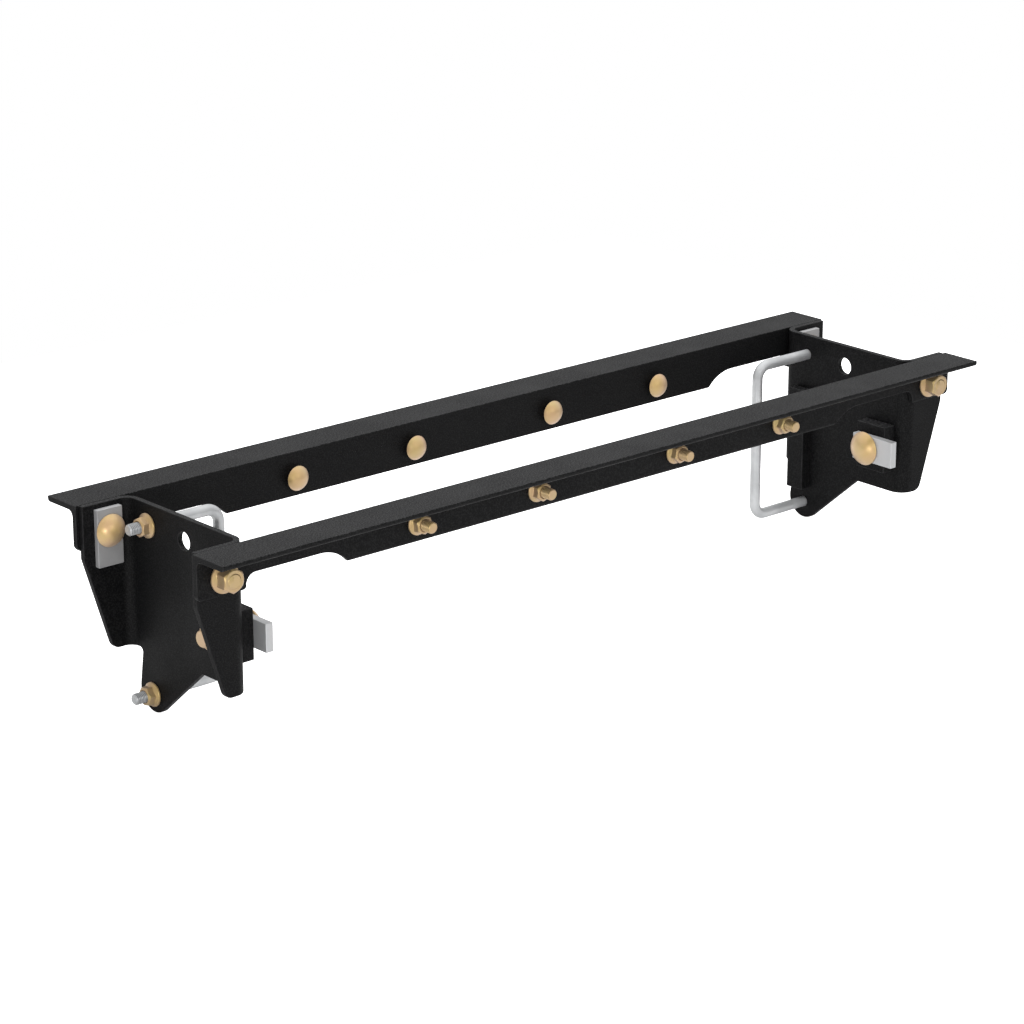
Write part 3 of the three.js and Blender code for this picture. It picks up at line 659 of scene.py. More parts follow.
def new_finish(name, metallic, specular, bump, patch_scale, grain_scale, grain=(0.35, 0.7)):
    """A material with its Principled shader, the shared patches and grain, and a Bump wired from them. Bump
    is that node's strength and distance; grain is the part of its range that is spread over 0 to 1."""
    material = bpy.data.materials.new(name)
    material.use_nodes = True
    tree = material.node_tree
    shader = tree.nodes["Principled BSDF"]
    shader.inputs["Metallic"].default_value = metallic
    shader.inputs["Specular IOR Level"].default_value = specular
    clouds = put(tree, "ShaderNodeGroup", node_tree=cloud_group())
    for key, value in {"Patch Scale": patch_scale, "Grain Scale": grain_scale,
                       "Grain Low": grain[0], "Grain High": grain[1]}.items():
        clouds.inputs[key].default_value = value
    relief = put(tree, "ShaderNodeBump", {
        "Strength": bump[0], "Distance": bump[1], "Height": clouds.outputs["Height"]}).outputs[0]
    tree.links.new(relief, shader.inputs["Normal"])
    return material, tree, shader, clouds.outputs


def grooved(tree, plate, share):
    """A plate colour with painted shade in the thread's grooves and on its chamfered tip, from the attribute
    "groove".
    """
    groove = put(tree, "ShaderNodeAttribute", attribute_name="groove").outputs["Fac"]
    return blend(tree, sums(tree, "MULTIPLY", groove, share), plate, GROOVE_SHADE_COLOUR)


def roughness_between(tree, shader, mask, low, high):
    """Lets a mask carry the roughness from low to high."""
    tree.links.new(ramp(tree, mask, 0.0, 1.0, low, high), shader.inputs["Roughness"])


def powder_coat():
    """Fine-textured satin black powder coat, thinner and paler along cut edges, the paler colour also a
    painted edge highlight. Its grain is paler on faces that point up, as painted top light.
    """
    name = "Black Powder Coat"
    if name in bpy.data.materials:
        return bpy.data.materials[name]
    colours = bpy.context.scene.hitch_finish
    material, tree, shader, clouds = new_finish(
        name, metallic=0.0, specular=0.085, bump=(0.25, 0.10 * MM), patch_scale=14.0, grain_scale=700.0,
        grain=(0.44, 0.66))
    # Painted top light: faces that point up show the grain's pale high points fully, upright faces only in
    # part.
    level = parts(tree, put(tree, "ShaderNodeNewGeometry").outputs["Normal"])[2]
    share = ramp(tree, level, 0.0, TOP_LIGHT_FULL_NORMAL, UPRIGHT_GRAIN_TOP_LIGHT, 1.0)
    coat = blend(tree, sums(tree, "MULTIPLY", clouds["Grain"], share), colours.coat, colours.coat_grain)
    edge_wear_and_highlight = put(tree, "ShaderNodeGroup", node_tree=worn_edge_group()).outputs["Mask"]
    # Paler softened edges: thin coat, and a painted edge highlight.
    coat = blend(tree, edge_wear_and_highlight, coat, colours.coat_edge)
    tree.links.new(coat, shader.inputs["Base Color"])
    roughness_between(tree, shader, clouds["Patches"], low=0.46, high=0.56)
    return material


def yellow_zinc(name="Yellow Zinc Plate", depth=0.97):
    """Yellow zinc plate: a chromate film that is deep gold face on and pale rose at a slant; the pale rose is
    partly the film's own shift and partly a painted reflection, and thread grooves get painted shade. Depth
    is the share of that colour which the plate keeps."""
    if name in bpy.data.materials:
        return bpy.data.materials[name]
    colours = bpy.context.scene.hitch_finish
    material, tree, shader, clouds = new_finish(
        name, metallic=0.45, specular=0.5, bump=(0.12, 0.05 * MM), patch_scale=55.0, grain_scale=1500.0)
    place = put(tree, "ShaderNodeTexCoord").outputs["Object"]
    drift = ramp(tree, noise(tree, place, scale=38.0, detail=2.0), low=0.5, high=0.7, last=0.8)
    plate = blend(tree, clouds["Patches"], colours.gold, colours.gold_rose)
    plate = blend(tree, drift, plate, colours.gold_green)
    # Paler rose towards a slant: the film's own shift, and a painted reflection.
    slant = put(tree, "ShaderNodeLayerWeight", {"Blend": 0.45}).outputs["Facing"]
    plate = blend(tree, slant, plate, colours.gold_slant)
    plate = put(tree, "ShaderNodeVectorMath", {0: plate, "Scale": depth}, operation="SCALE").outputs[0]
    tree.links.new(grooved(tree, plate, share=0.85), shader.inputs["Base Color"])
    roughness_between(tree, shader, clouds["Grain"], low=0.34, high=0.42)
    return material


def nut_zinc():
    return yellow_zinc("Yellow Zinc Nut Plate", depth=0.78)


def clear_zinc(name, first, second, metallic, rough):
    """Clear zinc plate with a soft bloom and fine grain, paler along its edges as wear and a painted edge
    highlight, with painted shade in thread grooves.
    """
    if name in bpy.data.materials:
        return bpy.data.materials[name]
    material, tree, shader, clouds = new_finish(
        name, metallic, specular=0.5, bump=(0.15, 0.05 * MM), patch_scale=40.0, grain_scale=1300.0)
    plate = blend(tree, clouds["Patches"], first, second)
    edge_wear_and_highlight = put(tree, "ShaderNodeGroup", node_tree=worn_edge_group()).outputs["Mask"]
    # Paler edges: wear, and a painted edge highlight.
    plate = blend(tree, edge_wear_and_highlight, plate, [min(1.0, part * ZINC_EDGE_WEAR_AND_HIGHLIGHT) for part in second])
    tree.links.new(grooved(tree, plate, share=0.75), shader.inputs["Base Color"])
    roughness_between(tree, shader, clouds["Grain"], rough, rough + ZINC_SPREAD)
    return material


def washer_zinc():
    colours = bpy.context.scene.hitch_finish
    return clear_zinc("Clear Zinc Plate", colours.zinc, colours.zinc_pale, metallic=0.2, rough=0.5)


def block_zinc():
    colours = bpy.context.scene.hitch_finish
    return clear_zinc("Clear Zinc Bar", colours.block, colours.rod, metallic=0.5, rough=0.45)


def rod_zinc():
    colours = bpy.context.scene.hitch_finish
    return clear_zinc("Bright Zinc Rod", colours.rod, colours.rod_pale, metallic=0.5, rough=0.34)


# ---- fastener shapes, standing along +Z

# Radii of shank, dome and flange, "hex" for half a nut's width across its flats, and lengths along the bolt,
# all in millimetres. "cone" is how much of a nut's half width its chamfer leaves at the top, "sink" is the
# width of its countersink and "chamfer" is the length of the bolt's own.
HALF_INCH = {"shank": 6.35, "dome": 14.0, "crown": 9.2, "neck": 5.5, "hex": 9.525, "nut": 12.7,
             "flange": 13.5, "pitch": 1.954, "cone": 0.86, "sink": 0.9, "chamfer": 1.1}
FIVE_EIGHTHS = {"shank": 7.9375, "dome": 18.0, "crown": 12.0, "neck": 5.5, "hex": 12.1, "nut": 17.5,
                "flange": 17.0, "pitch": 2.309, "cone": 0.93, "sink": -0.28, "chamfer": 0.35}
THREE_QUARTER = {"shank": 9.525, "dome": 20.5, "crown": 12.5, "neck": 10.0, "hex": 14.3, "nut": 19.0,
                 "flange": 20.0, "pitch": 2.54, "cone": 0.88, "sink": 0.9, "chamfer": 1.3}
NUT_CLEARANCE = 0.3 * MM    # between a nut and its shank
HEAD_RIM = 0.9 * MM         # upright edge under a bolt's dome
RIM_PROFILE = ((0.08 * MM, HEAD_RIM * 0.45), (0.35 * MM, 0.12 * MM), (0.6 * MM, 0))   # in from the edge, up
NECK_FILLET = 0.3 * MM      # where the shank meets the head
NECK_OVERLAP = 0.2 * MM     # of the square neck and the head
NECK_SOFTNESS = 0.4 * MM
DOME_RINGS = 12
BOLT_SHARP, NUT_SHARP = math.radians(38), math.radians(28)      # edges sharper than this shade as edges
NUT_STEPS = 72
NUT_BRIM = 2.2 * MM         # height of a nut's flange
BRIM_ROUND = 0.5 * MM       # rounded part of the flange's edge
BRIM_LEAN = 0.6             # how fast the rounded part draws in
NUT_SLOPE_TOP = 4.9 * MM    # where the flange's slope ends
SLOPE_LIP = 0.3 * MM        # step from the flange's edge in to its slope
CORNER_TRIM = 0.988         # what wear and plating leave of a hexagon's corners
CONE_SLOPE = 1.25           # how fast a nut's chamfer widens downwards
CHAMFER_REACH = 3.4 * MM    # below a nut's top, where its rings stand close
SLOPE_RINGS, CHAMFER_RINGS = 7, 10
MIDDLE_RING = 0.55          # where one more ring stands, as a share of a nut's height
SEAT_EASE = 0.4 * MM        # how far the rounded edge of a nut's seat draws in
SEAT_ROUND = 0.35 * MM      # how high it rises
BORE_EASE = 0.8 * MM        # chamfer of a nut's bore at its seat


def skinned(name, rings, closed=False):
    """A mesh from rings of points: quads between rings, and a fan at each end unless the rings close."""
    mesh = bpy.data.meshes.new(name)
    form = bmesh.new()
    rows = [[form.verts.new(point) for point in ring] for ring in rings]
    count = len(rows[0])
    pairs = list(zip(rows, rows[1:])) + ([(rows[-1], rows[0])] if closed else [])
    for first, second in pairs:
        for number in range(count):
            following = (number + 1) % count
            form.faces.new((first[number], first[following], second[following], second[number]))
    if not closed:
        for row in (rows[0], rows[-1]):
            heart = form.verts.new(sum((corner.co for corner in row), Vector()) / count)
            for number in range(count):
                form.faces.new((row[number], row[(number + 1) % count], heart))
    bmesh.ops.recalc_face_normals(form, faces=form.faces)
    form.to_mesh(mesh)
    form.free()
    return mesh


def ring(radius, height, count):
    return [(radius * math.cos(math.tau * k / count), radius * math.sin(math.tau * k / count), height)
            for k in range(count)]


def carriage_bolt(name, size, length, thread):
    """A domed carriage bolt: the head sits on z = 0 and the shank hangs down, threaded at its tip."""
    sizes = bpy.context.scene.hitch_steel
    count = sizes.rod_steps
    shank, dome, crown = size["shank"] * MM, size["dome"] * MM, size["crown"] * MM
    dome_height = crown - HEAD_RIM
    sphere = (dome_height ** 2 + dome ** 2) / (2 * dome_height)
    reach = math.asin(dome / sphere)
    rings = []
    for step in range(1, DOME_RINGS + 1):
        angle = reach * step / DOME_RINGS
        rings.append(ring(sphere * math.sin(angle), crown - sphere + sphere * math.cos(angle), count))
    rings += [ring(dome - inward, height, count) for inward, height in RIM_PROFILE]
    rings += [ring(shank + NECK_FILLET, 0, count), ring(shank, -NECK_FILLET, count)]
    gap = size["pitch"] * MM / sizes.thread_steps
    steps = math.ceil(thread / gap)
    rings += [ring(shank, -length + step * gap, count) for step in range(steps + 1, -1, -1)]
    piece = linked(name, skinned(name, rings))
    grow(piece, thread_tree(), {
        "Radius": shank, "Pitch": size["pitch"] * MM, "Depth": THREAD_DEPTH * size["pitch"] * MM,
        "Length": thread, "Chamfer": size["chamfer"] * MM, "Tip": -length})
    piece.data.shade_smooth()
    piece.data.set_sharp_from_angle(angle=BOLT_SHARP)
    neck = prism(square(0, 0, shank), "z", -size["neck"] * MM, NECK_OVERLAP)
    return joined(piece, [soften(neck, NECK_SOFTNESS, segments=2)])


def joined(piece, others):
    """One piece from several, with no operator context needed."""
    form = bmesh.new()
    form.from_mesh(piece.data)
    for other in others:
        form.from_mesh(other.data)
        bpy.data.objects.remove(other)
    form.to_mesh(piece.data)
    form.free()
    return piece


def flange_nut(name, size):
    """A hexagonal flange nut with a chamfered top: its seat is on z = 0."""
    bore, sink = size["shank"] * MM + NUT_CLEARANCE, size["sink"] * MM
    half, height, flange = size["hex"] * MM, size["nut"] * MM, size["flange"] * MM
    corner = half / math.cos(math.pi / 6) * CORNER_TRIM
    slope, slope_foot = NUT_SLOPE_TOP - NUT_BRIM, flange - SLOPE_LIP

    def hexagon(angle):
        return min(corner, half / math.cos((angle + math.pi / 6) % (math.pi / 3) - math.pi / 6))

    def across(angle, z):
        if z <= NUT_BRIM:
            return flange - max(0.0, z - NUT_BRIM + BRIM_ROUND) * BRIM_LEAN
        lean = slope_foot - (z - NUT_BRIM) / slope * (slope_foot - half)
        top = half * size["cone"] + (height - z) * CONE_SLOPE
        return min(max(hexagon(angle), lean if z < NUT_SLOPE_TOP else 0), top)

    levels = [SEAT_ROUND, NUT_BRIM - BRIM_ROUND, NUT_BRIM]
    levels += [NUT_BRIM + slope * step / SLOPE_RINGS for step in range(1, SLOPE_RINGS + 1)]
    levels.append(height * MIDDLE_RING)
    levels += [height - CHAMFER_REACH * (1 - step / CHAMFER_RINGS) for step in range(CHAMFER_RINGS + 1)]
    angles = [math.tau * k / NUT_STEPS for k in range(NUT_STEPS)]
    rings = [ring(bore + BORE_EASE, 0, NUT_STEPS), ring(flange - SEAT_EASE, 0, NUT_STEPS)]
    for z in levels:
        rings.append([(across(a, z) * math.cos(a), across(a, z) * math.sin(a), z) for a in angles])
    rings += [ring(bore + sink, height, NUT_STEPS), ring(bore, height - abs(sink), NUT_STEPS),
              ring(bore, BORE_EASE, NUT_STEPS)]
    mesh = skinned(name, rings, closed=True)
    mesh.shade_smooth()
    mesh.set_sharp_from_angle(angle=NUT_SHARP)
    return linked(name, mesh)


# ---- pieces

HEEL_RADIUS = 0.8 * MM          # the angle's outer corner and the backs of its toes
RELIEF_CORNER = 12 * MM         # where the relief's flat top meets the tab at the rail's end
TAB_INNER_RADIUS = 5 * MM
TAB_OUTER_RADIUS = 8 * MM
HOLE_STEPS, WIDE_HOLE_STEPS = 32, 40


def relief_outline(sizes):
    """The relief cut up into the right half of a web, in X and Z."""
    steps = sizes.arc_steps
    tab = PLATE_INNER + sizes.plate_wall
    depth = RAIL_DEPTH - sizes.relief_ceiling
    run = math.sqrt(2 * sizes.relief_sweep * depth - depth ** 2)
    start = math.pi / 2 + math.asin(run / sizes.relief_sweep)
    below, small = -RAIL_DEPTH - 2 * CUT_PAST, TAB_INNER_RADIUS
    corners = [
        (sizes.relief_tip, below),
        *arc(sizes.relief_tip + run, -sizes.relief_ceiling - sizes.relief_sweep, sizes.relief_sweep, start,
             math.pi / 2, 2 * steps),
        (tab, -sizes.relief_ceiling, RELIEF_CORNER),
        *arc(tab + small, -RAIL_DEPTH + small, small, math.pi, 1.5 * math.pi, steps),
        (tab + small, below),
    ]
    return rounded(corners, steps)


def cross_rail():
    """The rear rail: an angle with its heel at the inner top corner."""
    sizes = bpy.context.scene.hitch_steel
    steps = sizes.arc_steps
    wall = WEB_INNER + sizes.rail_wall
    profile = rounded([
        (WEB_INNER, 0, HEEL_RADIUS), (WEB_INNER, -RAIL_DEPTH, HEEL_RADIUS),
        (wall, -RAIL_DEPTH, sizes.rail_toe), (wall, -sizes.rail_wall, sizes.rail_fillet),
        (RAIL_OUTER, -sizes.rail_wall, sizes.rail_toe), (RAIL_OUTER, 0, HEEL_RADIUS),
    ], steps)
    rail = prism(profile, "x", -RAIL_HALF, RAIL_HALF)
    relief = relief_outline(sizes)
    round_x, round_z = RAIL_HALF - TAB_OUTER_RADIUS, -RAIL_DEPTH + TAB_OUTER_RADIUS
    past_end, below = RAIL_HALF + CUT_PAST, -RAIL_DEPTH - CUT_PAST
    tab_end = [(round_x, below), *arc(round_x, round_z, TAB_OUTER_RADIUS, 1.5 * math.pi, math.tau, steps),
               (past_end, round_z), (past_end, below)]
    outlines = [relief, tab_end, disc(END_BOLT_X, END_BOLT_Z, bored(FIVE_EIGHTHS), HOLE_STEPS)]
    outlines += [disc(x, HITCH_BOLT_Z, bored(HALF_INCH), HOLE_STEPS) for x in HITCH_BOLT_XS]
    for side in SIDES.values():
        handed = [[(side * x, z) for x, z in points] for points in outlines]
        carve(rail, [prism(points, "y", WEB_INNER - CUT_PAST, wall + CUT_PAST) for points in handed])
    return soften(rail, sizes.edge_softness)


def tangent(a, b, centre_a, centre_b, radius, sense):
    """Angle, about a circle's centre, of the point where a line from (a, b) touches the circle."""
    reach = math.hypot(a - centre_a, b - centre_b)
    return math.atan2(b - centre_b, a - centre_a) + sense * math.acos(radius / reach)


LOBE_SHIFT = 1.3 * MM           # from the lower U-bolt leg forward to the lobe's centre
NOTCH_SETBACK = 23.6 * MM       # from the rear web's inner face to the notch behind the lobe
NOTCH_RADIUS = 5 * MM
APEX_Y, APEX_RADIUS = -27.5 * MM, 3 * MM        # where the front flange's foot meets the lobe's slope
TOE_X, TOE_RADIUS = 30.9 * MM, 11 * MM          # outer corner of a flange's foot, from the plate's face
TAPER_Z, TAPER_RADIUS = -58.5 * MM, 14 * MM     # where a flange's edge starts to taper
EDGE_STRAIGHT_Z = -40 * MM
WINDOW = (-2 * MM, -25.7 * MM, 10.3 * MM)       # the spare hole in the main plate: Y, Z and radius


def side_bracket():
    """The right bracket: one bent plate with its flanges turned outwards."""
    sizes = bpy.context.scene.hitch_steel
    steps = sizes.arc_steps
    plate, bend = sizes.plate_wall, sizes.bend_inside
    outer = PLATE_INNER + plate
    inner_y, past_face = FLANGE_FACE - plate, FLANGE_FACE + CUT_PAST
    foot = -sizes.flange_height
    lobe = sizes.lobe_radius
    lobe_y, lobe_z = U_LEG_Y - LOBE_SHIFT, LOBE_BOTTOM + lobe
    notch_y, notch = WEB_INNER - NOTCH_SETBACK, NOTCH_RADIUS
    channel = rounded([
        (FLANGE_EDGE, FLANGE_FACE), (PLATE_INNER, FLANGE_FACE, bend + plate),
        (PLATE_INNER, -FLANGE_FACE, bend + plate), (FLANGE_EDGE, -FLANGE_FACE),
        (FLANGE_EDGE, -inner_y), (outer, -inner_y, bend), (outer, inner_y, bend), (FLANGE_EDGE, inner_y),
    ], steps)
    slant = tangent(APEX_Y, foot, lobe_y, lobe_z, lobe, 1)
    rise = tangent(notch_y, foot - notch, lobe_y, lobe_z, lobe, -1) + math.tau
    side_view = rounded([
        (-past_face, CUT_PAST), (-past_face, foot), (APEX_Y, foot, APEX_RADIUS),
        *arc(lobe_y, lobe_z, lobe, slant, rise, 3 * steps),
        (notch_y, foot - notch),
        *arc(notch_y + notch, foot - notch, notch, math.pi, math.pi / 2, steps)[1:],
        (past_face, foot), (past_face, CUT_PAST),
    ], steps)
    floor = LOBE_BOTTOM - CUT_PAST
    tuck = outer + bend / 2
    past_edge = FLANGE_EDGE + CUT_PAST
    front_view = rounded([
        (PLATE_INNER - CUT_PAST, CUT_PAST), (PLATE_INNER - CUT_PAST, floor), (tuck, floor), (tuck, foot),
        (PLATE_INNER + TOE_X, foot, TOE_RADIUS), (FLANGE_EDGE, TAPER_Z, TAPER_RADIUS),
        (FLANGE_EDGE, EDGE_STRAIGHT_Z), (past_edge, EDGE_STRAIGHT_Z + CUT_PAST), (past_edge, CUT_PAST),
    ], steps)
    bracket = prism(channel, "z", floor, 0)
    carve(bracket, [
        prism(side_view, "x", PLATE_INNER - CUT_PAST, past_edge),
        prism(front_view, "y", -past_face, past_face),
    ], "INTERSECT")
    leg = bored(HALF_INCH)
    through_plate = [(U_LEG_Y, U_UPPER_Z, leg), (U_LEG_Y, U_LOWER_Z, leg),
                     (CLAMP_Y, CLAMP_Z, bored(THREE_QUARTER)), WINDOW]
    holes = [prism(disc(y, z, radius, WIDE_HOLE_STEPS), "x", PLATE_INNER - CUT_PAST, outer + CUT_PAST)
             for y, z, radius in through_plate]
    end_hole = disc(END_BOLT_X, END_BOLT_Z, bored(FIVE_EIGHTHS), HOLE_STEPS)
    holes.append(prism(end_hole, "y", -past_face, past_face))
    carve(bracket, holes)
    return soften(bracket, sizes.edge_softness, angle=30)


U_BOLT_CORNER = 16 * MM         # bend radius of a U-bolt's centre line
U_BOLT_CHAMFER = 1.4 * MM


def u_bolt_path(name):
    """The right U-bolt's centre line, with close stations where the rod is threaded."""
    sizes = bpy.context.scene.hitch_steel
    corner = U_BOLT_CORNER
    bend_x = U_BACK_X + HALF_INCH["shank"] * MM + corner
    gap = HALF_INCH["pitch"] * MM / sizes.thread_steps
    stations = [step * gap for step in range(math.ceil(THREADED_LEG / gap) + 2)]
    upper = [(U_TIP_X - along, U_UPPER_Z) for along in stations]
    lower = [(x, U_LOWER_Z) for x, _ in reversed(upper)]
    steps = 2 * sizes.arc_steps
    bends = arc(bend_x, U_UPPER_Z - corner, corner, math.pi / 2, math.pi, steps)
    bends += arc(bend_x, U_LOWER_Z + corner, corner, math.pi, 1.5 * math.pi, steps)
    points = [(x, U_LEG_Y, z) for x, z in upper + bends + lower]
    mesh = bpy.data.meshes.new(name)
    mesh.from_pydata(points, [(k, k + 1) for k in range(len(points) - 1)], [])
    return linked(name, mesh)


BAR_SOFTNESS, JAW_SOFTNESS = 0.8 * MM, 0.9 * MM


def bar_like(node, hole=None, softness=BAR_SOFTNESS):
    """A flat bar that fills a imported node's box, with a hole through it along X for its bolt."""
    low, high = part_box(node)
    bar = prism(oblong(low.y, high.y, low.z, high.z), "x", low.x, high.x)
    if hole:
        carve(bar, [prism(hole, "x", low.x - CUT_PAST, high.x + CUT_PAST)])
    return soften(bar, softness)


# ---- operators

class HITCHSET_OT_cross_rails(bpy.types.Operator):
    """Makes the front and rear cross rails from angle steel"""
    bl_idname = "hitchset.cross_rails"
    bl_label = "Cross Rails"

    def execute(self, context):
        rear = cross_rail()
        front = turned(rear, "front_rail")
        settle(rear, "rear_rail", powder_coat(), ["cross_rail_rear"])
        settle(front, "front_rail", powder_coat(), ["cross_rail_front"])
        return {"FINISHED"}


class HITCHSET_OT_side_brackets(bpy.types.Operator):
    """Makes the two bent side brackets"""
    bl_idname = "hitchset.side_brackets"
    bl_label = "Side Brackets"

    def execute(self, context):
        settle_pair(side_bracket(), "bracket", powder_coat(), "side_bracket")
        return {"FINISHED"}


class HITCHSET_OT_u_bolts(bpy.types.Operator):
    """Bends the two square U-bolts and threads their legs"""
    bl_idname = "hitchset.u_bolts"
    bl_label = "U-Bolts"

    def execute(self, context):
        right = u_bolt_path("right_u_bolt")
        radius, pitch = HALF_INCH["shank"] * MM, HALF_INCH["pitch"] * MM
        grow(right, rod_tree(), {
            "Radius": radius, "Pitch": pitch, "Depth": THREAD_DEPTH * pitch, "Length": THREADED_LEG,
            "Chamfer": U_BOLT_CHAMFER, "Around Steps": context.scene.hitch_steel.rod_steps, "Tip X": U_TIP_X,
            "Leg Y": U_LEG_Y, "Upper Z": U_UPPER_Z, "Lower Z": U_LOWER_Z, "Material": rod_zinc()})
        settle_pair(right, "u_bolt", rod_zinc(), "u_bolt", own_body=True)
        return {"FINISHED"}


# How far each U-bolt nut stands turned, in radians
U_BOLT_NUT_TURNS = {
    ("left", "upper"): 0.5, ("left", "lower"): 0.15, ("right", "upper"): 0.3, ("right", "lower"): 0.7,
}


class HITCHSET_OT_u_bolt_nuts(bpy.types.Operator):
    """Makes the four flange nuts that pull the U-bolts tight, each on its own body"""
    bl_idname = "hitchset.u_bolt_nuts"
    bl_label = "U-Bolt Nuts"

    def execute(self, context):
        pattern = flange_nut("u_bolt_nut", HALF_INCH)
        for (side, level), turn in U_BOLT_NUT_TURNS.items():
            node = f"u_bolt_nut_{side}_{level}"
            seat = span(node, 0)[0] if side == "right" else span(node, 0)[1]
            lie = Matrix.Rotation(SIDES[side] * math.pi / 2, 4, "Y")
            place = Matrix.Translation((seat, middle(node, 1), middle(node, 2)))
            mesh = pattern.data.copy()
            mesh.transform(place @ lie @ Matrix.Rotation(turn, 4, "Z"))
            settle(linked(node, mesh), f"{side}_{level}_nut", nut_zinc(), [node], node)
        bpy.data.objects.remove(pattern)
        return {"FINISHED"}


def numbered(pattern, ends, numbers=("",)):
    """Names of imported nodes, from a pattern with a place for each end and each number."""
    return [pattern.format(end, number) for end in ends for number in numbers]


class HITCHSET_OT_hitch_bolts(bpy.types.Operator):
    """Sets out the half-inch bolts and nuts along both rails"""
    bl_idname = "hitchset.hitch_bolts"
    bl_label = "Hitch Bolts"

    def execute(self, context):
        low, high = span("hitch_bolt_rear_4", 1)
        head = low + HALF_INCH["crown"] * MM
        bolts = carriage_bolt("hitch_bolts", HALF_INCH, high - head, HITCH_BOLT_THREAD)
        nuts = flange_nut("hitch_bolt_nuts", HALF_INCH)
        near, far = HITCH_BOLT_XS
        row = {"Count": 8, "Across": 1.0, "X": near, "X Step": far - near, "Z": HITCH_BOLT_Z,
               "Material": yellow_zinc()}
        grow(bolts, set_out_tree(), row | {"Y": head, "Lie X": math.pi / 2})
        grow(nuts, set_out_tree(), row | {
            "Y": span("hitch_bolt_nut_rear_4", 1)[0], "Lie X": -math.pi / 2, "Spin": math.pi / 3, "Seed": 11})
        numbers = range(1, 5)
        settle(bolts, "hitch_bolts", yellow_zinc(),
               numbered("hitch_bolt_{}_{}", ENDS, numbers))
        settle(nuts, "hitch_bolt_nuts", nut_zinc(),
               numbered("hitch_bolt_nut_{}_{}", ENDS, numbers))
        return {"FINISHED"}


WASHER_CORNER, WASHER_CORNER_STEPS = 1 * MM, 4
WASHER_SOFTNESS = 0.5 * MM


class HITCHSET_OT_rail_end_bolts(bpy.types.Operator):
    """Sets out the five-eighths bolts, nuts and plate washers that hold the rails to the brackets"""
    bl_idname = "hitchset.rail_end_bolts"
    bl_label = "Rail-End Bolts"

    def execute(self, context):
        low, high = span("rail_end_bolt_rear_right", 1)
        head = low + FIVE_EIGHTHS["crown"] * MM
        bolts = carriage_bolt("rail_end_bolts", FIVE_EIGHTHS, high - head, END_BOLT_THREAD)
        nuts = flange_nut("rail_end_nuts", FIVE_EIGHTHS)
        row = {"Count": 4, "Across": 1.0, "X": END_BOLT_X, "X Step": 0.0, "Z": END_BOLT_Z,
               "Material": yellow_zinc()}
        grow(bolts, set_out_tree(), row | {"Y": head, "Lie X": math.pi / 2})
        grow(nuts, set_out_tree(), row | {
            "Y": span("rail_end_nut_rear_right", 1)[0], "Lie X": -math.pi / 2})
        settle(bolts, "rail_end_bolts", yellow_zinc(),
               numbered("rail_end_bolt_{}_{}", ENDS, SIDES))
        settle(nuts, "rail_end_nuts", nut_zinc(), numbered("rail_end_nut_{}_{}", ENDS, SIDES))
        low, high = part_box("plate_washer_rear_right")
        corners = [(x, z, WASHER_CORNER) for x, z in oblong(low.x, high.x, low.z, high.z)]
        plate = prism(rounded(corners, WASHER_CORNER_STEPS), "y", low.y, high.y)
        hole = square(END_BOLT_X, END_BOLT_Z, bored(FIVE_EIGHTHS))
        carve(plate, [prism(hole, "y", low.y - CUT_PAST, high.y + CUT_PAST)])
        left = mirrored(plate, "left")
        front = [turned(plate, "front_left"), turned(left, "front_right")]
        plates = soften(joined(plate, [left, *front]), WASHER_SOFTNESS, segments=2)
        settle(plates, "plate_washers", washer_zinc(),
               numbered("plate_washer_{}_{}", ENDS, SIDES))
        return {"FINISHED"}


class HITCHSET_OT_frame_clamps(bpy.types.Operator):
    """Makes the clamp blocks, their spacers and the three-quarter-inch bolts and nuts"""
    bl_idname = "hitchset.frame_clamps"
    bl_label = "Frame Clamps"

    def execute(self, context):
        low, high = span("frame_bolt_right", 0)
        head = low + THREE_QUARTER["crown"] * MM
        bolts = carriage_bolt("frame_bolts", THREE_QUARTER, high - head, FRAME_BOLT_THREAD)
        nuts = flange_nut("frame_bolt_nuts", THREE_QUARTER)
        pair = {"Count": 2, "Across": 0.0, "X Step": 0.0, "Y": CLAMP_Y, "Z": CLAMP_Z,
                "Material": yellow_zinc()}
        grow(bolts, set_out_tree(), pair | {"X": head, "Lie Y": -math.pi / 2})
        grow(nuts, set_out_tree(), pair | {
            "X": span("frame_bolt_nut_right", 0)[0], "Lie Y": math.pi / 2, "Spin": math.pi / 3, "Seed": 3})
        settle(bolts, "frame_bolts", yellow_zinc(), numbered("frame_bolt_{}{}", SIDES))
        settle(nuts, "frame_bolt_nuts", nut_zinc(), numbered("frame_bolt_nut_{}{}", SIDES))
        reach = bored(THREE_QUARTER)
        jaw = bar_like("clamp_block_right", square(CLAMP_Y, CLAMP_Z, reach), JAW_SOFTNESS)
        packer = bar_like("clamp_spacer_right", disc(CLAMP_Y, CLAMP_Z, reach, WIDE_HOLE_STEPS))
        settle_pair(jaw, "clamp_block", block_zinc(), "clamp_block")
        settle_pair(packer, "clamp_spacer", powder_coat(), "clamp_spacer")
        return {"FINISHED"}


class HITCHSET_OT_frame_pads(bpy.types.Operator):
    """Makes the two bars that bear on the truck's frame rails"""
    bl_idname = "hitchset.frame_pads"
    bl_label = "Frame Pads"

    def execute(self, context):
        settle_pair(bar_like("frame_pad_right"), "pad", powder_coat(), "frame_pad")
        return {"FINISHED"}


def soft_box(name, place, target, size, power):
    """A square area light that points from its place at a target."""
    lamp = bpy.data.lights.new(name, "AREA")
    lamp.shape = "SQUARE"
    lamp.size = size
    lamp.energy = power
    light = bpy.data.objects.new(name, lamp)
    bpy.context.scene.collection.objects.link(light)
    light.location = place
    light.rotation_euler = (Vector(place) - Vector(target)).to_track_quat("Z", "Y").to_euler()
    return light


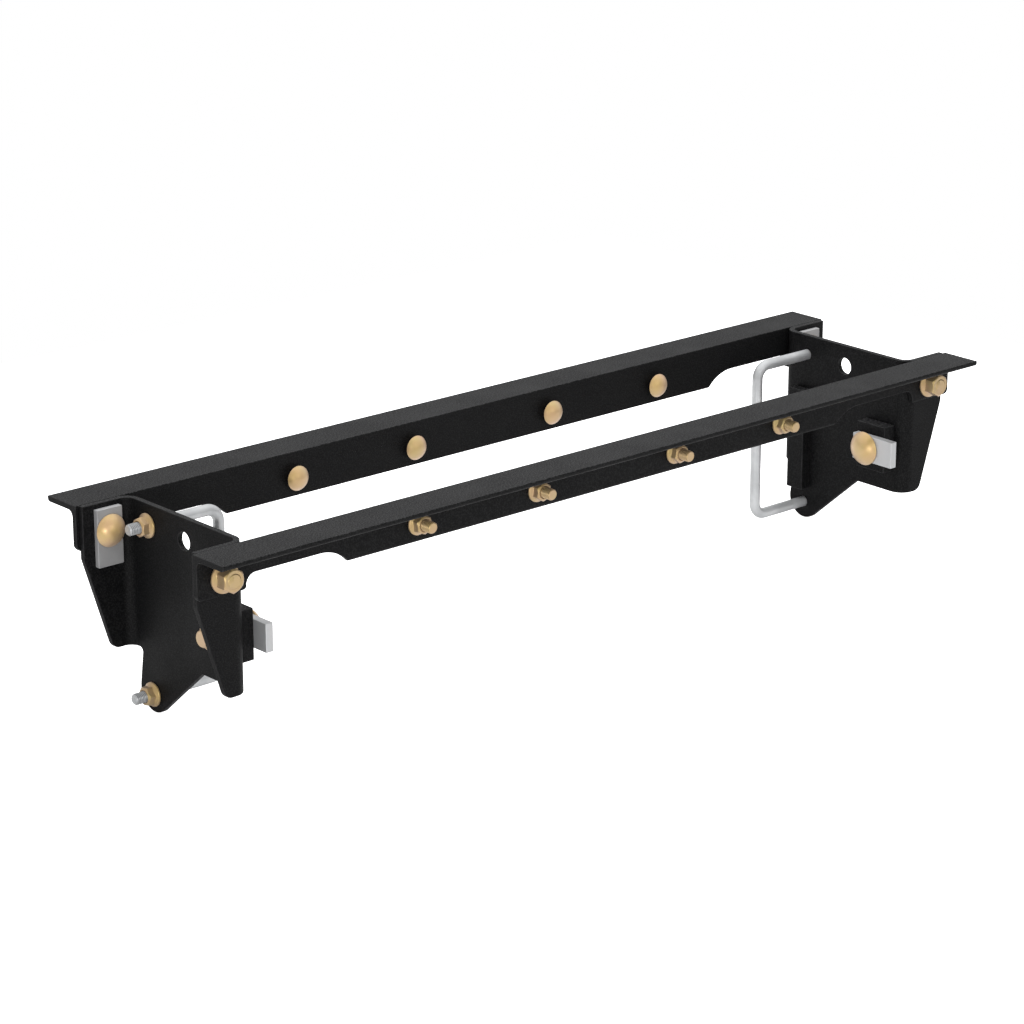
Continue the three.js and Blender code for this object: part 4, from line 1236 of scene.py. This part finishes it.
FLOOR_GAP = 0.5 * MM            # between the lowest piece and the floor
FLOOR_REACH = 1.3
FLOOR_ROUGHNESS, FLOOR_GLOSS = 0.9, 0.1
CAMERA_PLACE = (-2.4827, -2.7581, 1.1280)
CAMERA_ANGLES = (-41.484, 18.362, -0.029)       # turn about Z, lift and roll, in degrees
FILM_WIDTH = 36                 # in millimetres
FARTHEST = 100                  # that the camera sees, in metres


class HITCHSET_OT_stage(bpy.types.Operator):
    """Sets the pale floor, the soft light and the camera"""
    bl_idname = "hitchset.stage"
    bl_label = "Stage"

    def execute(self, context):
        scene = context.scene
        settings = scene.hitch_stage
        scene.view_settings.view_transform = "Standard"
        scene.view_settings.look = "None"
        world = bpy.data.worlds.new("Soft Sky")
        scene.world = world
        world.use_nodes = True
        sky = world.node_tree.nodes["Background"]
        sky.inputs["Color"].default_value = (1, 1, 1, 1)
        path = put(world.node_tree, "ShaderNodeLightPath").outputs["Is Camera Ray"]
        strength = ramp(world.node_tree, path, 0.0, 1.0, settings.sky_strength)
        world.node_tree.links.new(strength, sky.inputs["Strength"])

        level = CAD_BOUNDS[0][2] - FLOOR_GAP
        mesh = bpy.data.meshes.new("floor")
        mesh.from_pydata([(x, y, level) for x, y in square(0, 0, FLOOR_REACH)], [], [(0, 1, 2, 3)])
        floor = linked("floor", mesh)
        paper = bpy.data.materials.new("Pale Floor")
        paper.use_nodes = True
        shader = paper.node_tree.nodes["Principled BSDF"]
        shader.inputs["Base Color"].default_value = (*settings.floor_colour, 1)
        shader.inputs["Roughness"].default_value = FLOOR_ROUGHNESS
        shader.inputs["Specular IOR Level"].default_value = FLOOR_GLOSS
        glow = put(paper.node_tree, "ShaderNodeLightPath").outputs["Is Camera Ray"]
        shader.inputs["Emission Color"].default_value = (1, 1, 1, 1)
        paper.node_tree.links.new(glow, shader.inputs["Emission Strength"])
        mesh.materials.append(paper)

        middle_of_rails = (0, 0, 0)
        overhead = soft_box("Top Light", (0.2, 0.3, 2.6), middle_of_rails, size=3.2, power=settings.top_power)
        overhead.visible_glossy = False
        middle_of_set = (0, 0, -0.1)
        soft_box("Key Light", (-0.4, -3.0, 0.9), middle_of_set, size=1.4, power=settings.key_power)
        soft_box("Low Light", (-2.5, -2.2, 0.16), middle_of_set, size=0.7, power=settings.low_power)

        lens = bpy.data.cameras.new("Camera")
        lens.lens = settings.lens
        lens.sensor_width = FILM_WIDTH
        lens.clip_end = FARTHEST
        camera = bpy.data.objects.new("Camera", lens)
        scene.collection.objects.link(camera)
        turn, lift, roll = (math.radians(angle) for angle in CAMERA_ANGLES)
        level_share = math.cos(lift)
        back = Vector((math.sin(turn) * level_share, -math.cos(turn) * level_share, math.sin(lift)))
        right = Vector((math.cos(turn), math.sin(turn), 0))
        up = back.cross(right)
        aim = Matrix((right, up, back)).transposed() @ Matrix.Rotation(roll, 3, "Z")
        camera.matrix_world = Matrix.Translation(CAMERA_PLACE) @ aim.to_4x4()
        scene.camera = camera
        return {"FINISHED"}


PIECES = (
    HITCHSET_OT_cross_rails, HITCHSET_OT_side_brackets, HITCHSET_OT_u_bolts, HITCHSET_OT_u_bolt_nuts,
    HITCHSET_OT_hitch_bolts, HITCHSET_OT_rail_end_bolts, HITCHSET_OT_frame_clamps, HITCHSET_OT_frame_pads,
    HITCHSET_OT_stage,
)


class HITCHSET_PT_panel(bpy.types.Panel):
    """Lists the pieces of the rail set"""
    bl_idname = "HITCHSET_PT_panel"
    bl_label = "Hitch Rails"
    bl_space_type = "VIEW_3D"
    bl_region_type = "UI"
    bl_category = "Hitch Rails"

    def draw(self, context):
        for piece in PIECES:
            self.layout.operator(piece.bl_idname)
        for group in ("hitch_steel", "hitch_finish", "hitch_stage"):
            box = self.layout.box()
            settings = getattr(context.scene, group)
            for name in settings.__annotations__:
                box.prop(settings, name)


CLASSES = (SteelSizes, FinishColours, StageSettings, *PIECES, HITCHSET_PT_panel)


def register():
    for cls in CLASSES:
        bpy.utils.register_class(cls)
    bpy.types.Scene.hitch_steel = PointerProperty(type=SteelSizes)
    bpy.types.Scene.hitch_finish = PointerProperty(type=FinishColours)
    bpy.types.Scene.hitch_stage = PointerProperty(type=StageSettings)


def unregister():
    for name in ("hitch_stage", "hitch_finish", "hitch_steel"):
        delattr(bpy.types.Scene, name)
    for cls in reversed(CLASSES):
        bpy.utils.unregister_class(cls)


def main():
    """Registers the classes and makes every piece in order."""
    register()
    for piece in PIECES:
        group, name = piece.bl_idname.split(".")
        getattr(getattr(bpy.ops, group), name)()


if __name__ == "__main__":
    main()
